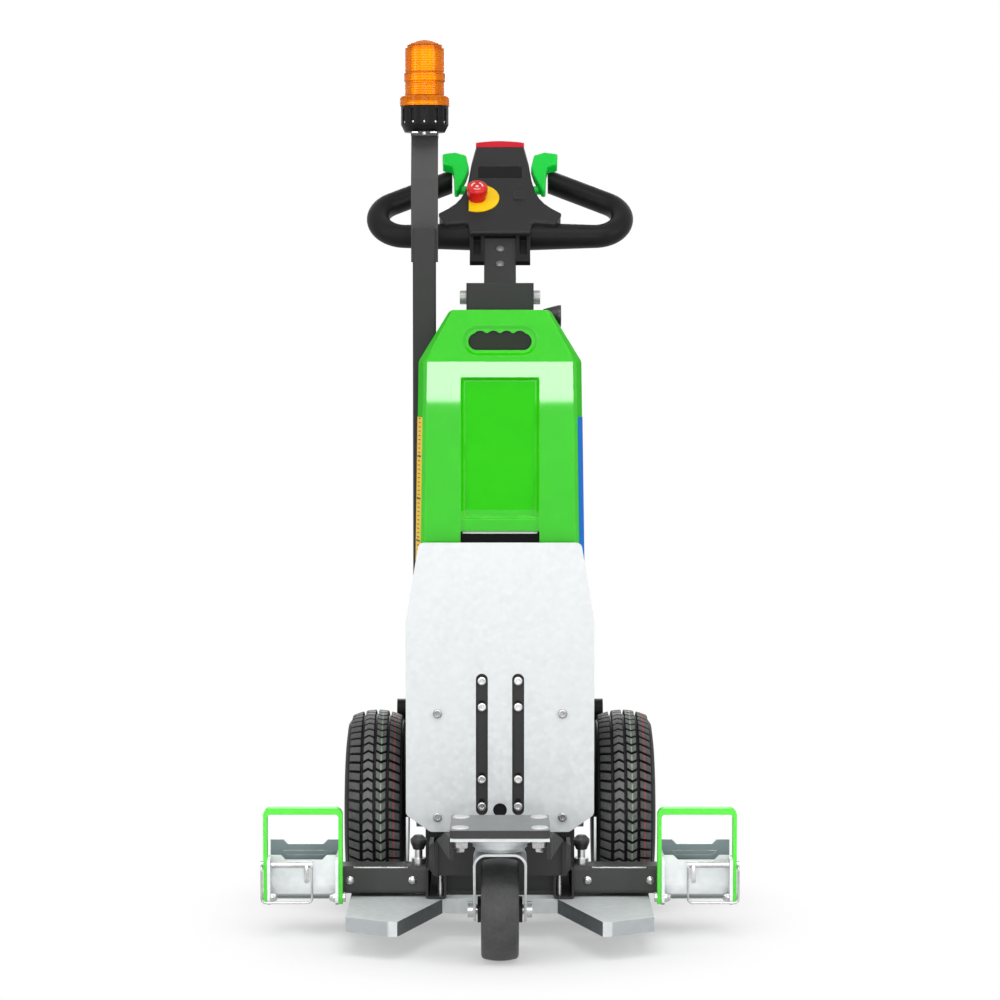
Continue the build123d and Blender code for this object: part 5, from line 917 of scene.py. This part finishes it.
fill_y = pocket_high.y - (WALL_T - FILL_T) / 2
fill_places = [(sign * FILL_X, fill_y, FILL_Z) for sign in SIDES]
add_piece("pocket_fills", scattered(plate(FILL_SIZE, slab(FILL_T)), fill_places), "chassis",
          ZINC_POCKET)
pin_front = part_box("lock_pins")[0].y + CLIP_DEPTH
add_heads("pin_clips", plate(CLIP_SIZE, eased(0.0016, 0.002, 0.9)),
          [(sign * CLIP_X, pin_front, CLIP_Z) for sign in SIDES])

# Beacon: bright balls at the slots' feet and bright strips at the strap's shelf, both painted highlights,
# and its bolt
BASE_SLOTS = 12
BASE_GLINT_R = 0.0023
BASE_GLINT_INSET = 0.0026
BASE_GLINT_RISE = 0.0128
SHELF_SIZE = (0.0085, 0.0018, 0.0007)
SHELF_T = 0.0004
SHELF_X = 0.0125
SHELF_DROP = 0.0016
STRAP_BOLT_R = 0.0026
STRAP_BOLT_DROP = 0.0030
base_low, base_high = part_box("beacon_base")
base_mid = (base_low + base_high) / 2
base_r = (base_high.x - base_low.x) / 2 - BASE_GLINT_INSET
base_cos, base_sin = turns(BASE_SLOTS)
base_ring = np.stack([base_mid.x + base_r * base_cos, base_mid.y + base_r * base_sin,
                      np.full(BASE_SLOTS, base_low.z + BASE_GLINT_RISE)], -1)
# painted highlight: bright steel balls at the feet of the base's slots
add_heads("beacon_screws", head(BALL, BASE_GLINT_R, RIGHT, BACK, 12), base_ring)
strap_low, strap_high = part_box("beacon_strap")
shelf_spots = [(base_mid.x + sign * SHELF_X, strap_low.y, strap_high.z - SHELF_DROP) for sign in SIDES]
# painted highlight: thin bright strips at the strap's top edge
shelf_glints = scattered(plate(SHELF_SIZE, slab(SHELF_T)), shelf_spots)
shelf_bolt = scattered(head(LOW_DOME, STRAP_BOLT_R, RIGHT, UP),
                       [(base_mid.x, strap_low.y, strap_high.z - STRAP_BOLT_DROP)])
add_piece("strap_bolt", gathered(shelf_glints, shelf_bolt), "chassis", BRIGHT_STEEL)

# Neck: the side sheets that carry the nose, their top edge falling to the rails, and the web between them
neck_low, neck_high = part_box("neck_plates")
NECK_T = 0.005
NECK_LIP = 0.026
NECK_BACK_TOP = 0.118
NECK_FALL = 0.0445
NECK_WEB_BACK = 0.1125
NECK_GAP = 0.001
WEB_CORNER = 0.0008
neck_bend = rail_low.y
neck_web = swivel[1] + NECK_WEB_BACK
neck_fall = nose_low.y + NECK_FALL


def neck_sheet(sign):
    """An upright sheet carried along its plan: each station has the outer and inner face's x, the y, and the
    heights of the lower and upper edge, and both ends are closed."""
    y = np.array([neck_low.y, neck_fall, neck_web - NECK_T, neck_web - NECK_T / 2, neck_bend, neck_high.y])
    front = nose_high.x + NECK_GAP
    outer = np.interp(y, [neck_low.y, neck_bend], [front, neck_high.x])
    lip = neck_high.z - NECK_LIP
    low = np.array([lip, lip, lip, neck_low.z, neck_low.z, neck_low.z])
    high = np.interp(y, [neck_fall, neck_bend], [neck_high.z, NECK_BACK_TOP])
    inner = outer - NECK_T
    sides = ((outer, low), (outer, high), (inner, high), (inner, low))
    corners = np.stack([np.stack([x, y, z], -1) for x, z in sides], 1)
    first, last = (np.broadcast_to(corners[end].mean(0), (1, 4, 3)) for end in (0, -1))
    points = np.concatenate([first, corners, last])
    return points.reshape(-1, 3) * (sign, 1, 1), grid_faces(len(points), 4)


web_half = np.interp(neck_web, [neck_low.y, neck_bend], [nose_high.x, neck_high.x]) - NECK_T / 2
web_top = np.interp(neck_web, [neck_fall, neck_bend], [neck_high.z, NECK_BACK_TOP])
web_bar = plate((2 * web_half, web_top - neck_low.z, WEB_CORNER), slab(NECK_T))
web_place = [(0, neck_web + NECK_T, (web_top + neck_low.z) / 2)]
add_piece("neck_sheets", gathered(neck_sheet(-1), neck_sheet(1), scattered(web_bar, web_place)), "chassis",
          BLACK_COAT, FACET_ANGLE, stands_for="neck_plates")

# Back and sides: screws of the rear cover, the motor's end and the shell
COVER_SCREW_R = 0.0042
COVER_INSET = 0.014
MOTOR_SCREWS = 4
MOTOR_SCREW_R = 0.0036
MOTOR_CIRCLE_R = 0.024
SHELL_SCREW_R = 0.0045
SHELL_DEPTHS = (0.018, 0.118)
SHELL_HEIGHTS = (0.290, 0.366, 0.442)
SUNK = 0.0002
cover_low, cover_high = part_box("rear_cover")
cover_spots = [(x, cover_high.y - SUNK, z) for x in (cover_low.x + COVER_INSET, cover_high.x - COVER_INSET)
               for z in (cover_low.z + COVER_INSET, cover_high.z - COVER_INSET)]
add_heads("cover_screws", head(SOCKET_HEAD, COVER_SCREW_R, -RIGHT, UP), cover_spots)
motor_low, motor_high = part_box("drive_motor")
motor_mid = (motor_low + motor_high) / 2
motor_cos, motor_sin = turns(MOTOR_SCREWS, radians(45))
motor_spots = np.stack([motor_mid.x + MOTOR_CIRCLE_R * motor_cos, np.full(MOTOR_SCREWS, motor_high.y - SUNK),
                        motor_mid.z + MOTOR_CIRCLE_R * motor_sin], -1)
add_heads("motor_screws", head(SOCKET_HEAD, MOTOR_SCREW_R, -RIGHT, UP), motor_spots)
shell_low, shell_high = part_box("body_shell")
shell_spots = [(shell_low.y + depth, z) for depth in SHELL_DEPTHS for z in SHELL_HEIGHTS]
for sign, side in SIDE_NAMES:
    add_heads(f"shell_screws_{side}", head(LOW_DOME, SHELL_SCREW_R, sign * BACK, UP),
              [(sign * shell_high.x, y, z) for y, z in shell_spots])

# Strips on the sides of the battery case
CASE_LOW_HALF = 0.103
CASE_SHOULDER_HALF = 0.099
CASE_SHOULDER_Z = 0.729
CASE_FLARE = 0.007
CASE_FACE_EDGE = 0.005
CASE_TAPER = 0.034
STRIP_FOOT = 0.0005
STRIP_TOP = 0.657
STRIP_ROWS = 9
STRIP_T = 0.0006
STRIP_DEPTHS = (0.0065, 0.015, 0.024, 0.0335)


def side_strip(sign):
    """A thin sheet on the case's side: one parameter runs back along the flare and the side, the other up;
    the width follows the case's taper, and the sheet is its outer face and its inner face joined round."""
    depth = np.array(STRIP_DEPTHS)
    height = np.linspace(case_low.z + STRIP_FOOT, STRIP_TOP, STRIP_ROWS)
    rise = (height - case_low.z) / (CASE_SHOULDER_Z - case_low.z)
    half = CASE_LOW_HALF + (CASE_SHOULDER_HALF - CASE_LOW_HALF) * rise
    flare = CASE_FLARE * np.clip((depth - CASE_FACE_EDGE) / (CASE_TAPER - CASE_FACE_EDGE), 0, 1)
    inner = half[:, None] + flare[None]
    ends = np.concatenate([depth, depth[::-1]])
    outer = np.concatenate([inner, inner[:, ::-1] + STRIP_T], 1)
    rows = np.concatenate([outer[:1], outer, outer[-1:]])
    rows[0, len(depth):] = inner[0, ::-1]
    rows[-1, len(depth):] = inner[-1, ::-1]
    z = np.concatenate([height[:1], height, height[-1:]])
    points = np.stack([sign * rows, np.broadcast_to(case_low.y + ends, rows.shape),
                       np.broadcast_to(z[:, None], rows.shape)], -1)
    return points.reshape(-1, 3), grid_faces(len(z), len(ends))


add_piece("strip_left", side_strip(-1), "chassis", YELLOW_STRIP)
add_piece("strip_right", side_strip(1), "chassis", BLUE_STRIP)

# White edge over the latch slot
LATCH_FACE = 0.0062
LATCH_BAR_SIZE = (0.097, 0.0026, 0.0008)
LATCH_BAR_DROP = 0.0018
latch_bar = plate(LATCH_BAR_SIZE, eased(0.001, 0.0014, 0.99))
latch_place = (0, case_low.y + LATCH_FACE, LATCH_TOP - LATCH_BAR_DROP)
add_piece("latch_edge", scattered(latch_bar, [latch_place]), "chassis", WHITE_STRIP)

# Blank label field on the head
LABEL_SIZE = (0.0605, 0.0265, 0.003)
LABEL_ALONG = 0.242
LABEL_OUT = 0.025
label = plate(LABEL_SIZE, eased(0.0005, 0.0007, 0.992), RIGHT, ALONG)
label_place = on_tiller(0, LABEL_ALONG, LABEL_OUT)
add_piece("label_field", scattered(label, [label_place]), "tiller", LABEL_GLOSS)


# Stage: a pale floor that turns white, soft lamps and the camera


def seen_ray(tree):
    """1 for rays from the camera, from reflections and through clear things, else 0."""
    light = add_node(tree, "ShaderNodeLightPath").outputs
    seen = math(tree, "MAXIMUM", light["Is Camera Ray"], light["Is Glossy Ray"])
    return math(tree, "MAXIMUM", seen, light["Is Transmission Ray"])


SHADOW_SCALE = (1 / 0.36, 1 / 0.42, 1.0)
FLOOR_REACH = 14.0


def build_stage():
    """A wide floor: lit and shadowed near the object, plain white farther out."""
    mesh = bpy.data.meshes.new("floor")
    corners = [(x * FLOOR_REACH, y * FLOOR_REACH, 0) for x, y in ((-1, -1), (1, -1), (1, 1), (-1, 1))]
    mesh.from_pydata(corners, [], [(0, 1, 2, 3)])
    material, tree, shader = start_material("pale_floor", Roughness=0.8, specular=0.2)
    place = object_place(tree)
    near = add_node(tree, "ShaderNodeMapping", {"Vector": place, "Scale": SHADOW_SCALE}).outputs[0]
    far = vector_math(tree, "LENGTH", near)["Value"]
    speck = use_group(tree, GRAIN, Scale=40.0)["Height"]
    tree.links.new(mix(tree, speck, 0.90, 0.92), shader.inputs["Base Color"])
    fade = ramp(tree, far, 0.65, 1.2, 0.35, 1.0)
    share = times(tree, seen_ray(tree), fade)
    white = add_node(tree, "ShaderNodeEmission", {"Color": grey(1.0), "Strength": 1.0}).outputs[0]
    blend = add_node(tree, "ShaderNodeMixShader", {0: share, 1: shader.outputs[0], 2: white})
    tree.links.new(blend.outputs[0], tree.nodes["Material Output"].inputs["Surface"])
    mesh.materials.append(material)
    floor = bpy.data.objects.new("floor", mesh)
    bpy.context.scene.collection.objects.link(floor)


def build_world():
    """White where the camera and reflections see it, a softer white as light."""
    world = bpy.data.worlds.new("studio")
    bpy.context.scene.world = world
    world.use_nodes = True
    tree = world.node_tree
    tree.nodes.clear()
    soft = add_node(tree, "ShaderNodeBackground", {"Color": grey(1.0), "Strength": 0.30}).outputs[0]
    white = add_node(tree, "ShaderNodeBackground", {"Color": grey(1.0), "Strength": 1.0}).outputs[0]
    blend = add_node(tree, "ShaderNodeMixShader", {0: seen_ray(tree), 1: soft, 2: white}).outputs[0]
    add_node(tree, "ShaderNodeOutputWorld", {"Surface": blend})


LAMPS = (
    # name, place, aimed at, width, height, power
    ("front_softbox", (0.0, -6.1, 1.55), (0.0, 0.0, 1.2), 2.6, 1.6, 64.0),
    ("low_strip", (0.0, -6.1, 0.6275), (0.0, 0.0, 0.6275), 2.6, 0.245, 28.0),
    ("left_strip", (-2.6, -1.8, 1.5), (0.0, 0.0, 0.5), 0.7, 2.2, 26.0),
    ("right_strip", (2.6, -1.8, 1.5), (0.0, 0.0, 0.5), 0.7, 2.2, 26.0),
    ("top_box", (0.0, -1.7, 3.0), (0.0, -0.1, 0.2), 2.4, 1.8, 46.0),
    ("rear_fill", (0.0, 4.5, 2.2), (0.0, 0.0, 0.6), 2.6, 1.8, 70.0),
)


def build_lamps():
    """Large area lamps, each turned from its place towards what it lights."""
    for name, place, target, width, height, power in LAMPS:
        lamp = bpy.data.lights.new(name, "AREA")
        lamp.shape = "RECTANGLE"
        lamp.size = width
        lamp.size_y = height
        lamp.energy = power
        holder = bpy.data.objects.new(name, lamp)
        holder.location = place
        way = Vector(target) - Vector(place)
        holder.rotation_euler = way.to_track_quat("-Z", "Y").to_euler()
        bpy.context.scene.collection.objects.link(holder)


def build_camera():
    """The photo's view: from the load side, level with the hand grip."""
    lens = bpy.data.cameras.new("photo_view")
    lens.lens = CAMERA_LENS_MM
    lens.sensor_width = CAMERA_SENSOR_MM
    lens.clip_end = CAMERA_REACH
    holder = bpy.data.objects.new("photo_view", lens)
    holder.location = (0.0, axle[1] - CAMERA_DISTANCE, CAMERA_HEIGHT)
    holder.rotation_euler = (pi / 2 - CAMERA_PITCH, 0.0, 0.0)
    bpy.context.scene.collection.objects.link(holder)
    bpy.context.scene.camera = holder


build_stage()
build_world()
build_lamps()
build_camera()
bpy.context.scene.view_settings.view_transform = "Standard"
